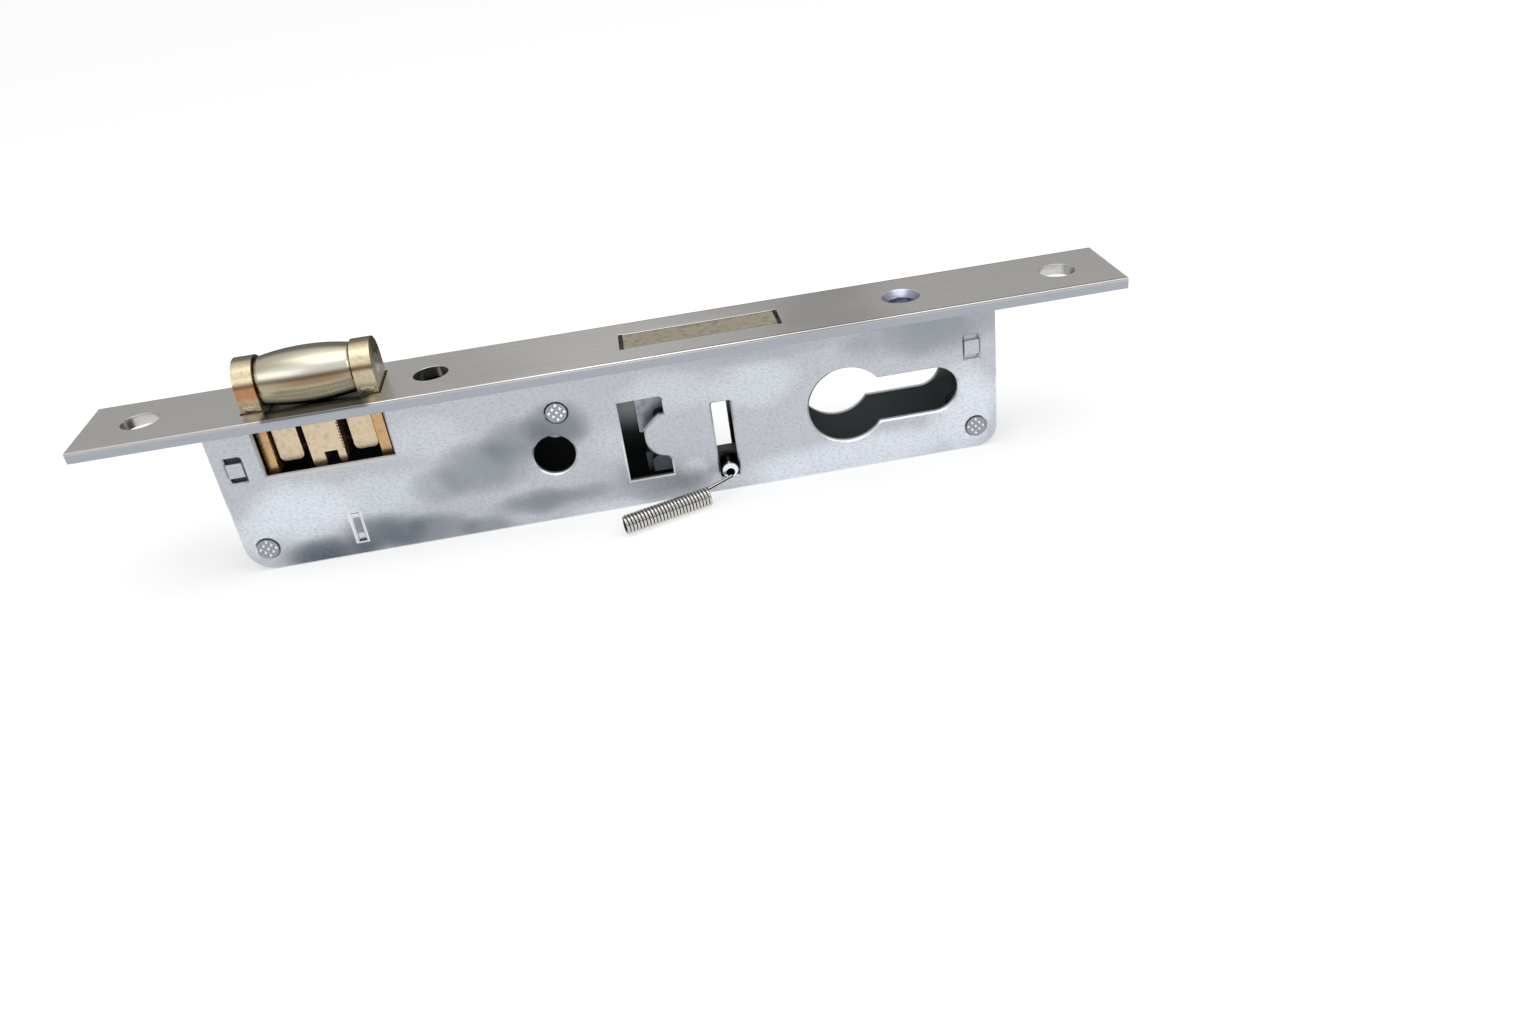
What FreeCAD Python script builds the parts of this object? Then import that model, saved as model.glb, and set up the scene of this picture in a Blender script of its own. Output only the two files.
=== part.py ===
import FreeCAD, Part
import math
import os
import re

import Sketcher

# A narrow mortise lock case with a roller latch and a flush deadbolt, in millimetres.
# The origin is the centre of the forend's front face. X runs along the lock, Y from the cover
# to the far plate, and Z out of the forend. Places left of the middle and below the forend's
# face are kept in the sheet as plain distances.

SIZES = {
    # forend
    "forend_length": 220,
    "forend_width": 22,
    "forend_thickness": 2.4,
    "edge_round": 0.4,
    "screw_inset": 11.8,
    "screw_hole": 7.8,
    "access_gap": 10.05,
    "access_hole": 7.4,
    # case
    "case_left": 85.2,
    "case_right": 81.8,
    "case_width": 15.4,
    "case_depth": 35.8,
    "wall": 1.2,
    "left_round": 6,
    "right_round": 4.8,
    # clearances
    "slip": 0.02,
    "running": 0.05,
    "sliding": 0.2,
    # profile cylinder and handle
    "backset": 20,
    "cylinder_place": 48.2,
    "cylinder_bore": 17.4,
    "cylinder_slot": 10.4,
    "cylinder_reach": 24.8,
    "cylinder_screw": 5.6,
    "cylinder_screw_offset": 14.9,
    "countersink": 8.4,
    "handle_place": 16.2,
    "handle_hole": 9,
    "handle_far_hole": 5.2,
    # posts that join the side plates
    "post_inset": 5,
    "post_lift": 5.4,
    "post_place": 14,
    "post_drop": 10.3,
    "post_width": 6,
    "post_end": 4.4,
    "post_proud": 0.15,
    # blocks under the forend
    "bracket_left_inset": 4.35,
    "bracket_right_inset": 5.45,
    "bracket_thickness": 3.3,
    "bracket_drop": 15,
    "bracket_tab": 3.3,
    "bracket_tab_drop": 11.3,
    "bracket_slot": 5.7,
    "slot_round": 0.5,
    # roller latch
    "latch_gap": 1.35,
    "fork_length": 27.8,
    "fork_width": 11.2,
    "ear_thickness": 4.1,
    "axis_height": 4.3,
    "leg_inset": 0.95,
    "leg_thickness": 2.2,
    "leg_width": 10,
    "leg_drop": 14.5,
    "web_height": 2.4,
    "web_rise": 0.4,
    "stop_reach": 1.6,
    "stop_height": 1.6,
    "pillar_share": 0.19,
    "pillar_gap": 0.5,
    "pillar_width": 6.8,
    "pillar_drop": 12.8,
    "pillar_round": 1.2,
    "tongue_gap": 1.75,
    "tongue_drop": 14.6,
    "notch_share": 0.385,
    "tongue_notch_height": 3.1,
    "notch_shift": 0.6,
    "tip_round": 0.9,
    "tooth_top": 5.4,
    "tooth_pitch": 0.7,
    "tooth_width": 0.55,
    "tooth_depth": 0.5,
    "roller_width": 12,
    "roller_crown": 1,
    "roller_play": 0.3,
    "axle_width": 3.2,
    "axle_head": 4.2,
    "axle_proud": 0.2,
    "window_rim": 0.55,
    "window_shift": 0.45,
    "window_drop": 14,
    # latch springs and their seat
    "seat_height": 6.6,
    "seat_length": 24.4,
    "seat_thickness": 1.4,
    "seat_width": 12.6,
    "pocket_wall": 0.45,
    "spring_wire": 0.55,
    "spring_turns": 5,
    "spring_top": 6,
    "lance_shift": 1.8,
    "lance_width": 2.3,
    "lance_lift": 2,
    "lance_height": 6.9,
    "lance_depth": 0.6,
    # deadbolt
    "bolt_gap": 29.35,
    "bolt_length": 32.9,
    "bolt_width": 7.3,
    "bolt_sink": 0.05,
    "bolt_end_gap": 0.9,
    "bolt_side_gap": 0.35,
    "bolt_relief": 0.45,
    "bolt_throw": 14,
    "head_rise": 10.3,
    "arch_rise": 4.2,
    "arch_before": 6.35,
    "arch_after": 7.15,
    "tail_thickness": 3,
    "tail_inset": 1,
    "tail_rise": 7.4,
    "cam_reach": 10.2,
    "shoulder_rise": 2.6,
    "talon_depth": 4.8,
    "talon_rise": 5.7,
    "talon_height": 5,
    "arm_rise": 1.4,
    "back_gap": 0.4,
    "rivet_width": 3,
    "rivet_rise": 3.6,
    "rivet_inset": 5,
    # guide stud
    "guide_shift": 1.75,
    "guide_lift": 5.5,
    "guide_width": 3.5,
    "guide_play": 0.35,
    "guide_proud": 1.2,
    "guide_tenon": 2,
    "eye_width": 1.8,
    "eye_depth": 2,
    "eye_offset": 0.45,
    # tumbler
    "tumbler_thickness": 2.4,
    "tumbler_gap": 0.1,
    "tumbler_inset": 0.6,
    "tumbler_travel": 5.2,
    "tumbler_rise": 2.6,
    "tumbler_fall": 3.5,
    "stump_inset": 1.3,
    "stump_width": 3.9,
    "stump_rise": 5.4,
    "stump_height": 3.8,
    "stump_rim": 1,
    "stump_gap": 0.25,
    "stump_round": 1,
    "lug_width": 6.2,
    "lug_rise": 8.5,
    "pin_gap": 11.2,
    "pin_width": 2.6,
    "return_spring_width": 2,
    "return_spring_wire": 0.35,
    "return_spring_turns": 5,
    # stepped window in the cover
    "gate_play": 0.4,
    "gate_side_play": 0.1,
    "gate_sill": 0.7,
    "pocket_round": 0.8,
    "bay_round": 1.5,
    "bay_step": 0.5,
    "ridge_fall": 2.7,
    "ridge_height": 2.8,
    "ridge_depth": 4.9,
    "ridge_slope": 1.3,
    "bay_back": 2.7,
    # extension spring lying beside the case
    "coil_width": 4.2,
    "coil_wire": 0.7,
    "coil_pitch": 0.775,
    "coil_turns": 26,
    "coil_angle": 18.4,
    "coil_end_gap": 5.5,
    "coil_end_stand": 12.4,
    "hook_depth": 1.2,
}

INNER = "(case_width / 2 - wall)"
OUTER = "(case_width / 2)"
FLOOR = "(wall - case_depth)"
UNDER = "(-forend_thickness)"
SCREW_SPACING = "(forend_length - 2 * screw_inset)"

LATCH = "(case_left - bracket_left_inset - bracket_thickness / 2 - latch_gap - stop_reach - fork_length / 2)"
EAR_INNER = "(fork_length / 2 - ear_thickness)"
PILLAR_INNER = "(pillar_share * fork_length)"
LEG_OUTER = "(fork_length / 2 - leg_inset)"
LEG_INNER = f"({LEG_OUTER} - leg_thickness)"
PILLAR_OUTER = f"({LEG_INNER} - pillar_gap)"
POCKET = f"({PILLAR_OUTER} - {PILLAR_INNER} - 2 * pocket_wall)"
TONGUE = f"({PILLAR_INNER} - tongue_gap)"
SEAT_TOP = f"({FLOOR} + seat_height)"

BOLT = "(cylinder_place - bolt_gap)"
HEAD_LEFT = f"({BOLT} - bolt_length / 2)"
HEAD_RIGHT = f"({BOLT} + bolt_length / 2)"
GUIDE_PLACE = f"({BOLT} + guide_shift)"
GUIDE_HEIGHT = "(guide_lift - case_depth)"
HEAD_LOW = f"({GUIDE_HEIGHT} + head_rise)"
ARCH_LEFT = f"({BOLT} - arch_before)"
ARCH_RIGHT = f"({BOLT} + arch_after)"
RIVET_HEIGHT = f"({HEAD_LOW} + rivet_rise)"
TAIL_FRONT = "(-tail_thickness / 2)"
TAIL_TOP = f"({HEAD_LOW} + tail_rise)"
TAIL_REACH = "(cylinder_place - cam_reach)"

TUMBLER_BACK = "(-tail_thickness / 2 - tumbler_gap)"
TUMBLER_FRONT = "(-tail_thickness / 2 - tumbler_gap - tumbler_thickness)"
TUMBLER_LEFT = f"({HEAD_LEFT} + tumbler_inset)"
STUMP_LEFT = f"({TUMBLER_LEFT} + stump_inset)"
STUMP_RIGHT = f"({STUMP_LEFT} + stump_width)"
STUMP_TOP = f"({GUIDE_HEIGHT} + stump_rise)"
STUMP_FOOT = f"({STUMP_TOP} - stump_height)"
LUG_LEFT = f"({TAIL_REACH} - sliding - lug_width)"
PIN_PLACE = f"({GUIDE_PLACE} - pin_gap)"

TONGUE_TEETH = 9
HALF_TURN = 180
FULL_TURN = 360
ADDS = "PartDesign::Pad"
CUTS = "PartDesign::Pocket"

doc = FreeCAD.newDocument("MortiseLock")
sheet = doc.addObject("Spreadsheet::Sheet", "Sizes")
nodes = []

POSTS = {
    "post_left": ("post_inset - case_left", "post_lift - case_depth"),
    "post_middle": ("-post_place", "-post_drop"),
    "post_right": ("case_right - post_inset", "post_lift - case_depth"),
}
BRACKETS = {
    "forend_bracket_left": "(bracket_left_inset - case_left)",
    "forend_bracket_right": "(case_right - bracket_right_inset)",
}
RIVETS = {
    "bolt_rivet_left": f"{HEAD_LEFT} + rivet_inset",
    "bolt_rivet_right": f"{HEAD_RIGHT} - rivet_inset",
}


def fill_sheet():
    """Writes each size beside its name, with the name as the cell's alias."""
    for row, (name, value) in enumerate(SIZES.items(), 1):
        sheet.set(f"A{row}", name)
        sheet.set(f"B{row}", str(value))
        sheet.setAlias(f"B{row}", name)
    doc.recompute()


def formula(text):
    """Names the sheet before each size in a formula."""
    return re.sub(r"[a-z][a-z_]+", r"Sizes.\g<0>", text)


def worked(text):
    """The present value of a formula."""
    return float(sheet.evalExpression(formula(text)))


def bind(sketch, kind, ends, text):
    """Adds a dimension to a sketch and ties it to its formula."""
    number = sketch.addConstraint(Sketcher.Constraint(kind, *ends, worked(text)))
    sketch.setExpression(f"Constraints[{number}]", formula(text))


def add_arc(sketch, start, end, turn, axis, place):
    """Adds the arc that turns left or right from start to end, with its centre's place along one axis."""
    middle = (start + end) * 0.5
    across = FreeCAD.Vector(start.y - end.y, end.x - start.x, 0)
    share = (worked(place) - getattr(middle, axis)) / getattr(across, axis)
    centre = middle + across * share
    first, last = (start, end) if turn == "left" else (end, start)
    angles = [math.atan2(spot.y - centre.y, spot.x - centre.x) for spot in (first, last)]
    if angles[1] < angles[0]:
        angles[1] += 2 * math.pi
    circle = Part.Circle(centre, FreeCAD.Vector(0, 0, 1), start.distanceToPoint(centre))
    side = sketch.addGeometry(Part.ArcOfCircle(circle, *angles))
    bind(sketch, "Distance" + axis.upper(), (-1, 1, side, 3), place)
    return (side, 1, 2) if turn == "left" else (side, 2, 1)


def outline(sketch, corners):
    """Draws a closed outline of (across, up) corners. One that an arc leaves adds (turn, axis, place)."""
    spots = [FreeCAD.Vector(worked(corner[0]), worked(corner[1]), 0) for corner in corners]
    sides = []
    for number, corner in enumerate(corners):
        start, end = spots[number], spots[(number + 1) % len(spots)]
        if len(corner) == 2:
            sides.append((sketch.addGeometry(Part.LineSegment(start, end)), 1, 2))
        else:
            sides.append(add_arc(sketch, start, end, *corner[2:]))
    for number, corner in enumerate(corners):
        side, first, _ = sides[number]
        before, _, last = sides[number - 1]
        sketch.addConstraint(Sketcher.Constraint("Coincident", before, last, side, first))
        bind(sketch, "DistanceX", (-1, 1, side, first), corner[0])
        bind(sketch, "DistanceY", (-1, 1, side, first), corner[1])


def rectangle(sketch, left, right, low, high):
    """Draws a rectangle."""
    outline(sketch, [(left, low), (right, low), (right, high), (left, high)])


def ring(sketch, across, up, width):
    """Draws a circle of the given diameter."""
    centre = FreeCAD.Vector(worked(across), worked(up), 0)
    circle = Part.Circle(centre, FreeCAD.Vector(0, 0, 1), worked(width) / 2)
    side = sketch.addGeometry(circle)
    bind(sketch, "DistanceX", (-1, 1, side, 3), across)
    bind(sketch, "DistanceY", (-1, 1, side, 3), up)
    bind(sketch, "Radius", (side,), f"({width}) / 2")


def level_slot(sketch, left, right, up, width):
    """Draws a level slot between the centres of its two round ends."""
    low, high = f"{up} - ({width}) / 2", f"{up} + ({width}) / 2"
    outline(
        sketch,
        [(left, low), (right, low, "left", "x", right), (right, high), (left, high, "left", "x", left)],
    )


def new_body(label, across="0", along="0", up="0"):
    """Starts a sub-part whose own origin lies at the given place."""
    body = doc.addObject("PartDesign::Body", label)
    body.Label = label
    for axis, place in zip("xyz", (across, along, up)):
        body.setExpression(f".Placement.Base.{axis}", formula(place))
    nodes.append(body)
    return body


def sketch_on(body, plane, offset):
    """A sketch on one of the body's origin planes, moved along the plane's normal."""
    sketch = body.newObject("Sketcher::SketchObject", f"{body.Label}_sketch")
    sketch.AttachmentSupport = [(next(p for p in body.Origin.OriginFeatures if p.Role == plane), "")]
    sketch.MapMode = "FlatFace"
    sketch.setExpression(".AttachmentOffset.Base.z", formula(offset))
    return sketch


def extrude(body, kind, plane, low, high, draw):
    """Pads or cuts what draw puts in a sketch, from low to high along the axis across the plane."""
    turn = -1 if plane == "XZ_Plane" else 1
    start = low if (kind == ADDS) == (turn > 0) else high
    before = body.Shape.Volume if body.Tip else 0
    sketch = sketch_on(body, plane, f"{turn} * ({start})")
    draw(sketch)
    feature = body.newObject(kind, f"{body.Label}_step")
    feature.Profile = sketch
    feature.setExpression("Length", formula(f"({high}) - ({low})"))
    doc.recompute()
    if (kind == ADDS) != (body.Shape.Volume > before) or body.Shape.Volume == before:
        raise RuntimeError(f"{body.Label}: {feature.Name} changes nothing")
    return feature


def revolve(body, kind, plane, axis, draw):
    """Turns what draw puts in a sketch on an origin plane about one of the sketch's axes."""
    sketch = sketch_on(body, plane, "0")
    draw(sketch)
    feature = body.newObject(kind, f"{body.Label}_turning")
    feature.Profile = sketch
    feature.ReferenceAxis = (sketch, [axis])
    feature.Angle = 360
    doc.recompute()
    return feature


def edges_through(shape, axis, places):
    """Names of the straight edges along an axis that pass a place, given by its other two coordinates."""
    names = []
    for number, edge in enumerate(shape.Edges, 1):
        ends = [[c for i, c in enumerate(v.Point) if i != axis] for v in edge.Vertexes]
        for place in places:
            if len(ends) == 2 and all(math.dist(end, place) < 1e-3 for end in ends):
                names.append(f"Edge{number}")
    return names


def soften(body, kind, size, axis, places):
    """Rounds or chamfers the straight edges along an axis that pass the places."""
    base = body.Tip
    spots = [[worked(value) for value in place] for place in places]
    feature = body.newObject(kind, f"{body.Label}_edges")
    feature.Base = (base, edges_through(base.Shape, axis, spots))
    feature.setExpression("Radius" if kind.endswith("Fillet") else "Size", formula(size))
    doc.recompute()


def pin(label, across, up, steps):
    """A turned pin along Y at a place of the side plates; steps are (start, end, diameter)."""
    body = new_body(label, across=across, up=up)
    corners = [("0", steps[0][0])]
    for start, end, width in steps:
        corners += [(f"({width}) / 2", start), (f"({width}) / 2", end)]
    corners.append(("0", steps[-1][1]))
    revolve(body, "PartDesign::Revolution", "XY_Plane", "V_Axis", lambda sketch: outline(sketch, corners))
    return body


def build_forend():
    """Flat strip with its holes and the slots for latch and bolt."""
    body = new_body("forend")
    length, width = "forend_length / 2", "forend_width / 2"
    strip = (f"-{length}", length, f"-{width}", width)
    extrude(body, ADDS, "XY_Plane", UNDER, "0", lambda s: rectangle(s, *strip))
    soften(body, "PartDesign::Fillet", "edge_round", 0, [(f"-{width}", "0"), (width, "0")])

    def plain_holes(sketch):
        for side in ("-", ""):
            ring(sketch, f"{side}{SCREW_SPACING} / 2", "0", "screw_hole")
        ring(sketch, f"fork_length / 2 + access_gap - {LATCH}", "0", "access_hole")

    extrude(body, CUTS, "XY_Plane", UNDER, "0", plain_holes)

    def latch_slot(sketch):
        reach = "(fork_length / 2 + axle_proud + 2 * running)"
        half = "(roller_width / 2 + roller_play)"
        rectangle(sketch, f"-{LATCH} - {reach}", f"-{LATCH} + {reach}", f"-{half}", half)

    extrude(body, CUTS, "XY_Plane", UNDER, "0", latch_slot)

    half = "(bolt_width / 2 + bolt_side_gap)"
    left, right = f"({HEAD_LEFT} - bolt_end_gap)", f"({HEAD_RIGHT} + bolt_end_gap)"
    extrude(body, CUTS, "XY_Plane", UNDER, "0", lambda s: rectangle(s, left, right, f"-{half}", half))

    def reliefs(sketch):
        wide = f"({half} + bolt_relief)"
        rectangle(sketch, left, f"{left} + bolt_end_gap", f"-{wide}", wide)
        rectangle(sketch, f"{right} - bolt_end_gap", right, f"-{wide}", wide)

    extrude(body, CUTS, "XY_Plane", UNDER, "0", reliefs)
    cylinder_screw_hole(body)


def cylinder_screw_hole(body):
    """Countersunk hole for the screw that holds the profile cylinder."""
    sketch = sketch_on(body, "XY_Plane", "0")
    ring(sketch, "cylinder_place + cylinder_screw_offset", "0", "cylinder_screw")
    doc.recompute()
    hole = body.newObject("PartDesign::Hole", "cylinder_screw_hole")
    hole.Profile = sketch
    hole.Threaded = False
    hole.ThreadType = 0
    hole.DepthType = "ThroughAll"
    hole.HoleCutType = "Countersink"
    hole.HoleCutCustomValues = True
    hole.setExpression("Diameter", formula("cylinder_screw"))
    hole.setExpression("HoleCutDiameter", formula("countersink"))
    hole.HoleCutCountersinkAngle = 90
    doc.recompute()


def plate_outline(sketch, inset):
    """Outline of a side plate, drawn smaller by an inset on its three closed sides."""
    left, right = f"({inset} - case_left)", f"(case_right - {inset})"
    low = f"({inset} - case_depth)"
    near, far = f"(left_round - {inset})", f"(right_round - {inset})"
    outline(
        sketch,
        [
            (left, f"{low} + {near}", "left", "x", f"{left} + {near}"),
            (f"{left} + {near}", low),
            (f"{right} - {far}", low, "left", "x", f"{right} - {far}"),
            (right, f"{low} + {far}"),
            (right, UNDER),
            (left, UNDER),
        ],
    )


def cylinder_cutout(body, front, back):
    """Round bore and slot for the profile cylinder."""
    bore = ("cylinder_place", "-backset", "cylinder_bore")
    extrude(body, CUTS, "XZ_Plane", front, back, lambda s: ring(s, *bore))
    end = "cylinder_place + cylinder_reach - cylinder_slot / 2"
    low, high = "-backset - cylinder_slot / 2", "-backset + cylinder_slot / 2"
    start = "cylinder_place"
    corners = [(start, low), (end, low, "left", "x", end), (end, high), (start, high)]
    extrude(body, CUTS, "XZ_Plane", front, back, lambda s: outline(s, corners))


def upright_slot(sketch, left, right, low, high):
    """Draws an upright slot with rounded corners."""
    inner, outer = f"{left} + slot_round", f"{right} - slot_round"
    outline(
        sketch,
        [
            (left, f"{low} + slot_round", "left", "x", inner), (inner, low),
            (outer, low, "left", "x", outer), (right, f"{low} + slot_round"),
            (right, f"{high} - slot_round", "left", "x", outer), (outer, high),
            (inner, high, "left", "x", inner), (left, f"{high} - slot_round"),
        ],
    )


def plate_openings(body, front, back, handle_hole):
    """Openings that both side plates have: posts, handle bolt, bolt guide, block tabs and cylinder."""

    def small_openings(sketch):
        for across, up in POSTS.values():
            ring(sketch, across, up, "post_end + 2 * slip")
        ring(sketch, "-handle_place", "-backset", handle_hole)
        half = "(guide_width / 2 + guide_play)"
        low, high = f"({GUIDE_HEIGHT} - {half})", f"({GUIDE_HEIGHT} + bolt_throw + {half})"
        upright_slot(sketch, f"({GUIDE_PLACE} - {half})", f"({GUIDE_PLACE} + {half})", low, high)
        for place in BRACKETS.values():
            half = "(bracket_thickness / 2 + slip)"
            low, high = "-bracket_tab_drop - bracket_slot / 2", "-bracket_tab_drop + bracket_slot / 2"
            upright_slot(sketch, f"({place} - {half})", f"({place} + {half})", f"({low})", f"({high})")

    extrude(body, CUTS, "XZ_Plane", front, back, small_openings)
    cylinder_cutout(body, front, back)


def gate_outline(sketch):
    """Stepped window with a pocket for each place of the tumbler's stump and a ridge between them."""
    left, right = f"({STUMP_LEFT} - tumbler_travel - gate_play)", f"({STUMP_RIGHT} + gate_side_play)"
    bay = f"({STUMP_TOP} + gate_side_play)"
    top, shelf = f"({bay} + bolt_throw + gate_side_play)", f"({STUMP_FOOT} + bolt_throw - gate_side_play)"
    sill = f"({STUMP_FOOT} - gate_sill)"
    ridge, ridge_top = f"({right} - ridge_depth)", f"({shelf} - ridge_fall)"
    ridge_low = f"({ridge_top} - ridge_height)"
    outline(
        sketch,
        [
            (left, top),
            (left, sill),
            (right, sill),
            (right, f"{bay} - bay_round", "left", "x", f"{right} - bay_round"),
            (f"{right} - bay_round", bay),
            (f"{right} - bay_back", f"{bay} + bay_step", "right", "y", ridge_low),
            (ridge, ridge_low),
            (ridge, ridge_top),
            (f"{right} - ridge_slope", shelf),
            (right, shelf),
            (right, f"{top} - pocket_round", "left", "x", f"{right} - pocket_round"),
            (f"{right} - pocket_round", top),
        ],
    )


def build_cover():
    """Flat near plate with the latch window, the stepped window and the pressed lance."""
    body = new_body("case_cover")
    front, back = f"-{OUTER}", f"-{INNER}"
    extrude(body, ADDS, "XZ_Plane", front, back, lambda s: plate_outline(s, "0"))
    plate_openings(body, front, back, "handle_hole")
    extrude(body, CUTS, "XZ_Plane", front, back, gate_outline)
    half = "(fork_length / 2 - window_rim)"
    left, right = f"window_shift - {LATCH} - {half}", f"window_shift - {LATCH} + {half}"
    extrude(body, CUTS, "XZ_Plane", front, back, lambda s: rectangle(s, left, right, "-window_drop", UNDER))
    press_lance(body, CUTS, front)
    press_lance(body, ADDS, back)


def press_lance(body, kind, face):
    """The lance's round groove in the cover's front, or its bulge at the back."""
    middle, half = f"(lance_shift - {LATCH})", "lance_width / 2"
    low = f"({FLOOR} + lance_lift)"
    centre = f"{face} - (lance_width * lance_width / 4 - lance_depth * lance_depth) / (2 * lance_depth)"
    corners = [(f"{middle} + {half}", face, "left", "y", centre), (f"{middle} - {half}", face)]
    extrude(body, kind, "XY_Plane", low, f"{low} + lance_height", lambda s: outline(s, corners))


def build_tray():
    """Far plate folded with the back and the two ends."""
    body = new_body("case_tray")
    extrude(body, ADDS, "XZ_Plane", f"-{INNER}", OUTER, lambda s: plate_outline(s, "0"))
    extrude(body, CUTS, "XZ_Plane", f"-{INNER}", INNER, lambda s: plate_outline(s, "wall"))
    plate_openings(body, INNER, OUTER, "handle_far_hole")


def build_bracket(label, place):
    """Block between the plates, with a tab peened into each of them."""
    body = new_body(label, across=place)
    half = "bracket_thickness / 2"
    extrude(
        body, ADDS, "YZ_Plane", f"-{half}", half,
        lambda s: rectangle(s, f"-{INNER}", INNER, "-bracket_drop", UNDER),
    )
    low, high = "-bracket_tab_drop - bracket_tab / 2", "-bracket_tab_drop + bracket_tab / 2"
    extrude(body, ADDS, "YZ_Plane", f"-{half}", half, lambda s: rectangle(s, f"-{OUTER}", OUTER, low, high))


def build_posts():
    """Spacer posts with an end staked into each side plate."""
    for label, (across, up) in POSTS.items():
        tip = f"{OUTER} + post_proud"
        middle = (f"-{INNER}", INNER, "post_width")
        steps = [(f"-({tip})", f"-{INNER}", "post_end"), middle, (INNER, tip, "post_end")]
        pin(label, across, up, steps)


def build_seat():
    """Channel that stands on the case's back and carries the latch springs."""
    body = new_body("latch_spring_seat", across=f"-{LATCH}")
    end, inner = "(seat_length / 2)", "(seat_length / 2 - seat_thickness)"
    web = f"{SEAT_TOP} - seat_thickness"
    corners = [
        (f"-{end}", FLOOR), (f"-{inner}", FLOOR), (f"-{inner}", web), (inner, web),
        (inner, FLOOR), (end, FLOOR), (end, SEAT_TOP), (f"-{end}", SEAT_TOP),
    ]
    extrude(body, ADDS, "XZ_Plane", "-seat_width / 2", "seat_width / 2", lambda s: outline(s, corners))
    half = "(lance_width / 2 + running)"
    extrude(
        body, CUTS, "XZ_Plane", "-seat_width / 2", f"-{INNER} + lance_depth + running",
        lambda s: rectangle(s, f"lance_shift - {half}", f"lance_shift + {half}", web, SEAT_TOP),
    )


def build_fork():
    """Casting with two ears for the roller, two outer legs, two spring pillars and a notched tongue."""
    body = new_body("latch_fork", across=f"-{LATCH}")
    end, half = "fork_length / 2", "fork_width / 2"
    foot = f"({UNDER} - running)"
    ear = [
        (f"-{half}", foot), (half, foot),
        (half, "axis_height", "left", "y", "axis_height"), (f"-{half}", "axis_height"),
    ]
    extrude(body, ADDS, "YZ_Plane", f"-{end}", end, lambda s: outline(s, ear))
    high = "axis_height + fork_width"
    extrude(
        body, CUTS, "XZ_Plane", f"-{half}", half,
        lambda s: rectangle(s, f"-{EAR_INNER}", EAR_INNER, f"{foot} + web_rise", high),
    )
    web = f"({UNDER} - web_height)"
    draw_legs(body, foot, web)
    for near, far in ((f"-{PILLAR_OUTER}", f"-{PILLAR_INNER}"), (PILLAR_INNER, PILLAR_OUTER)):
        draw_pillar(body, near, far, web)
    draw_tongue(body, web)
    extrude(
        body, CUTS, "YZ_Plane", f"-{end}", end,
        lambda s: ring(s, "0", "axis_height", "axle_width + 2 * slip"),
    )


def draw_legs(body, top, web):
    """Web, stops under the forend and the two outer legs."""
    stop, low, deep = "(fork_length / 2 + stop_reach)", f"{top} - stop_height", "leg_width / 2"
    side = [
        (stop, top), (stop, low), (LEG_OUTER, low),
        (LEG_OUTER, "-leg_drop"), (LEG_INNER, "-leg_drop"), (LEG_INNER, web),
    ]
    corners = [(f"-{across}", up) for across, up in side] + side[::-1]
    extrude(body, ADDS, "XZ_Plane", f"-{deep}", deep, lambda s: outline(s, corners))


def draw_pillar(body, left, right, top):
    """One pillar, rounded at its foot, with the pocket for its spring."""
    low, half = "-pillar_drop", "pillar_width / 2"
    corners = [
        (left, f"{low} + pillar_round", "left", "x", f"{left} + pillar_round"),
        (f"{left} + pillar_round", low),
        (f"{right} - pillar_round", low, "left", "x", f"{right} - pillar_round"),
        (right, f"{low} + pillar_round"),
        (right, top),
        (left, top),
    ]
    extrude(body, ADDS, "XZ_Plane", f"-{half}", half, lambda s: outline(s, corners))
    middle = f"({left} + {right}) / 2"
    extrude(body, CUTS, "XY_Plane", low, "-spring_top", lambda s: ring(s, middle, "0", POCKET))


def draw_tongue(body, top):
    """Notched tongue between the pillars."""
    low, roof = "-tongue_drop", "-tongue_drop + tongue_notch_height"
    left, right = f"(notch_shift - notch_share * {TONGUE})", f"(notch_shift + notch_share * {TONGUE})"
    corners = [
        (f"-{TONGUE}", f"{low} + tip_round", "left", "x", f"-{TONGUE} + tip_round"),
        (f"-{TONGUE} + tip_round", low),
        (f"{left} - tip_round", low, "left", "x", f"{left} - tip_round"),
        (left, f"{low} + tip_round"),
        (left, roof),
        (right, roof),
        (right, f"{low} + tip_round", "left", "y", f"{low} + tip_round"),
        (TONGUE, f"{low} + tip_round"),
        (TONGUE, top),
        (f"-{TONGUE}", top),
    ]
    front = "-leg_width / 2"
    extrude(body, ADDS, "XZ_Plane", front, "pillar_width / 2", lambda s: outline(s, corners))
    extrude(body, CUTS, "XZ_Plane", front, f"{front} + tooth_depth", tongue_teeth)


def tongue_teeth(sketch):
    """Row of small round cuts that makes the teeth along the tongue's edge."""
    for number in range(TONGUE_TEETH):
        ring(sketch, TONGUE, f"-tooth_top - {number} * tooth_pitch", "tooth_width")


def build_axle():
    """Axle with a low peened head at each ear."""
    body = new_body("roller_axle", across=f"-{LATCH}", up="axis_height")
    end, tip = "(fork_length / 2)", "(fork_length / 2 + axle_proud)"
    thin, wide = "axle_width / 2", "axle_head / 2"
    corners = [
        (f"-{tip}", "0"), (tip, "0"), (tip, thin), (end, wide), (end, thin),
        (f"-{end}", thin), (f"-{end}", wide), (f"-{tip}", thin),
    ]
    revolve(body, "PartDesign::Revolution", "XY_Plane", "H_Axis", lambda s: outline(s, corners))


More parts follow.
